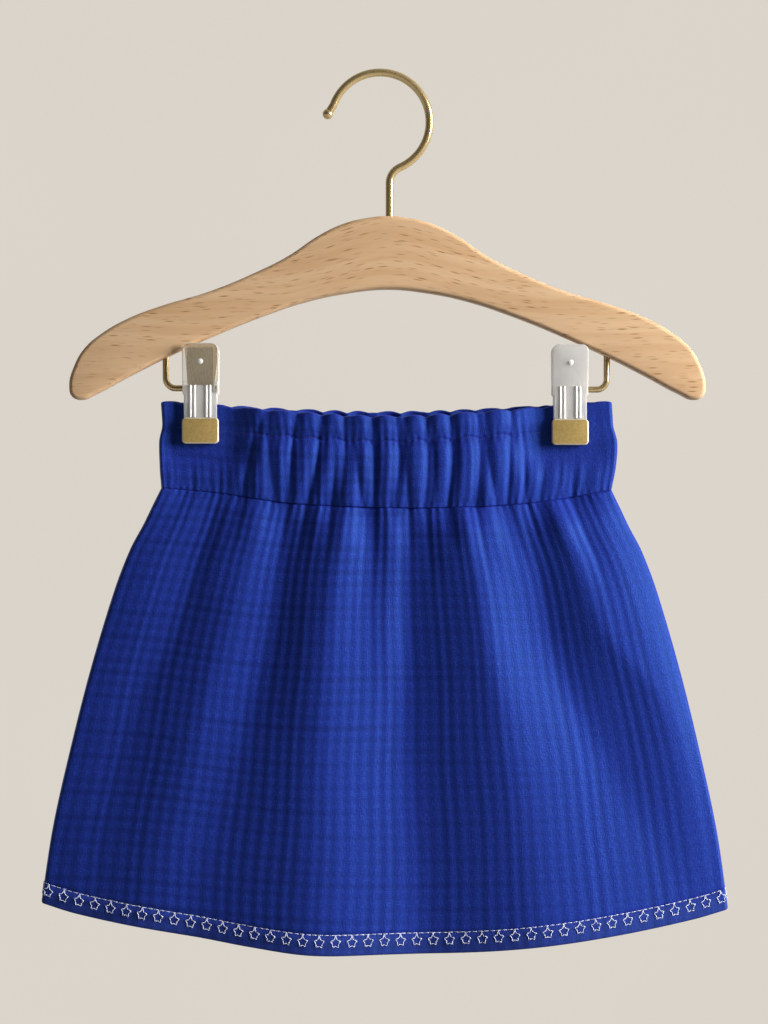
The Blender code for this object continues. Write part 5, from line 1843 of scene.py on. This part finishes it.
def jaw_parts():
    """What joins the jaw's plate or cuts it: cheeks, ribs, rivet and the wire's bore."""
    parts = []
    for sign in (-1, 1):
        edges = (JAW_LOW_WIDTH / 2 - CHEEK_INSET, JAW_LOW_WIDTH / 2 - CHEEK_WIDTH)
        across = sorted(sign * edge for edge in edges)
        low = (across[0], -JAW_INNER_Y - CHEEK_SUNK, -CHEEK_HEIGHT / 2)
        high = (across[1], -CHEEK_INNER_Y, CHEEK_HEIGHT / 2)
        parts.append(("UNION", block("cheek", low, high)))
    for x in RIBS_AT:
        top, foot = (x, -JAW_FACE, RIB_TOP), (x, -JAW_FACE, PAD_TOP + RIB_ENDS_ABOVE_PAD)
        parts.append(("UNION", rod("rib", RIB_RADIUS, foot, top, sides=20)))
    pin_place = Matrix.Translation((0, -JAW_FACE - flared(PIN_HEIGHT), PIN_HEIGHT))
    squat = pin_place @ Matrix.Diagonal((1, PIN_SQUAT, 1, 1))
    ball = bmesh.new()
    bmesh.ops.create_uvsphere(ball, u_segments=24, v_segments=14, radius=PIN_RADIUS, matrix=squat)
    parts.append(("UNION", mesh_object("rivet", ball)))
    reach = JAW_WIDTH / 2 + CUT_OVERSHOOT
    bore = rod("wire_bore", CLIP_WIRE / 2 + FIT_GAP, (-reach, 0, 0), (reach, 0, 0))
    return [*parts, ("DIFFERENCE", bore)]


def milk_and_glow_of(polygon):
    """How milky the plastic is at a face of the jaw, which also sets its painted glow."""
    middle = polygon.calc_center_median()
    if -middle.y > JAW_FACE + flared(middle.z) + PROUD:
        return RIB_MILK_AND_GLOW
    if abs(polygon.normal.y) < cos(HARD_EDGE):
        return RIM_MILK_AND_GLOW
    return FOOT_MILK_AND_GLOW if middle.z < 0.0 else 0.0


def jaw_shape():
    """The front jaw, about the wire's axis."""
    half, low_half = JAW_WIDTH / 2, JAW_LOW_WIDTH / 2
    corners = [
        (-half, JAW_TOP, JAW_CORNER),
        (-half, JAW_STEP_DOWN, 0.0),
        (-low_half, JAW_STEP_DOWN - (half - low_half), 0.0),
        (-low_half, PAD_TOP - JAW_IN_PAD, 0.0),
    ]
    jaw = plate("jaw", corners, JAW_INNER_Y, JAW_THICK, JAW_EDGE)
    flare(jaw)
    jaw = worked(jaw, *jaw_parts())
    with edited(jaw.data) as shape:
        cloudy = shape.faces.layers.float.new("cloudy")
        for polygon in shape.faces:
            polygon[cloudy] = milk_and_glow_of(polygon)
        for edge in shape.edges:
            if len({milk_and_glow_of(polygon) == RIB_MILK_AND_GLOW for polygon in edge.link_faces}) > 1:
                edge.smooth = False
    return jaw


print(len(RIBS_AT), "ribs on each jaw")

# %% Pad and leaf
PAD_WIDTH = 17.4 * MM
PAD_CORNER = 2.0 * MM
PAD_EDGE = 0.75 * MM
PAD_INNER_Y = 2.85 * MM
PAD_THICK = 3.6 * MM
LEAF_WIDTH = 12.4 * MM
LEAF_TOP = 19.1 * MM
LEAF_FOOT = 1.6 * MM
LEAF_TONGUE = 3.8 * MM
LEAF_CORNER = 1.0 * MM
LEAF_INNER_Y = 3.0 * MM
LEAF_THICK = 0.45 * MM
LEAF_EDGE = 0.08 * MM


def pad_shape():
    """The front pad: a rounded block with a slot for the jaw's foot, paler along its outer edge."""
    half = PAD_WIDTH / 2
    corners = [(-half, PAD_TOP, PAD_CORNER), (-half, PAD_TOP - PAD_HEIGHT, PAD_CORNER)]
    pad = plate("pad", corners, PAD_INNER_Y, PAD_THICK, PAD_EDGE, segments=4)
    slot_half = JAW_LOW_WIDTH / 2 + FIT_GAP
    low = (-slot_half, -JAW_INNER_Y - JAW_THICK - FIT_GAP, PAD_TOP - JAW_IN_PAD - FIT_GAP)
    high = (slot_half, -JAW_INNER_Y + FIT_GAP, PAD_TOP + CUT_OVERSHOOT)
    pad = worked(pad, ("DIFFERENCE", block("slot", low, high)))
    face = -PAD_INNER_Y - PAD_THICK
    pale_edge = pad.data.attributes.new("pale_edge", "FLOAT", "POINT")
    for vert, mark in zip(pad.data.vertices, pale_edge.data):
        mark.value = 1.0 if WELD < vert.co.y - face < PAD_EDGE + WELD else 0.0
    return pad


def leaf_shape():
    """The front spring leaf: a broad head behind the handle and a tongue down to the pad."""
    half, tongue = LEAF_WIDTH / 2, LEAF_TONGUE / 2
    corners = [
        (-half, LEAF_TOP, LEAF_CORNER),
        (-half, LEAF_FOOT, LEAF_CORNER),
        (-tongue, LEAF_FOOT - LEAF_CORNER, 0.0),
        (-tongue, PAD_TOP + FIT_GAP, 0.0),
    ]
    leaf = plate("leaf", corners, LEAF_INNER_Y, LEAF_THICK, LEAF_EDGE, segments=1)
    flare(leaf)
    return settled(leaf)


print("a pad is", PAD_WIDTH * 1000, "mm wide")

# %% Make the clips
# The right clip has paler copies of the left clip's finishes: painted reflection of the bright light on
# that side.
CLIP_FINISHES = {"left": (clear_jaw, leaf_brass), "right": (jaw_painted_reflection, leaf_painted_reflection)}


def make_clip(clip, shapes):
    """All six pieces of one clip."""
    place = Matrix.Translation((clip.middle_x_mm * MM, 0.0, clip.wire_z_mm * MM))
    jaw_plastic, leaf_finish = CLIP_FINISHES[clip.name]
    finishes = {
        "jaw": (jaw_plastic, "clear_plastic"),
        "leaf": (leaf_finish, "spring_leaf"),
        "pad": (pad_brass, "pad_brass"),
    }
    for kind, shape in shapes.items():
        material, slot = finishes[kind]
        for where, turn in (("front", 0.0), ("back", pi)):
            mesh = shape.data.copy()
            mesh.transform(place @ Matrix.Rotation(turn, 4, "Z"))
            mesh.materials.clear()
            mesh.materials.append(material)
            piece = add_object(f"clip_{clip.name}_{kind}_fine_{where}", mesh)
            stands_for(piece, slot, f"clip_{clip.name}_{kind}_{where}")


clip_shapes = {"jaw": jaw_shape(), "leaf": leaf_shape(), "pad": pad_shape()}
for clip in CLIPS:
    make_clip(clip, clip_shapes)
for kind, shape in clip_shapes.items():
    print(kind, len(shape.data.polygons), "faces")
    bpy.data.objects.remove(shape)
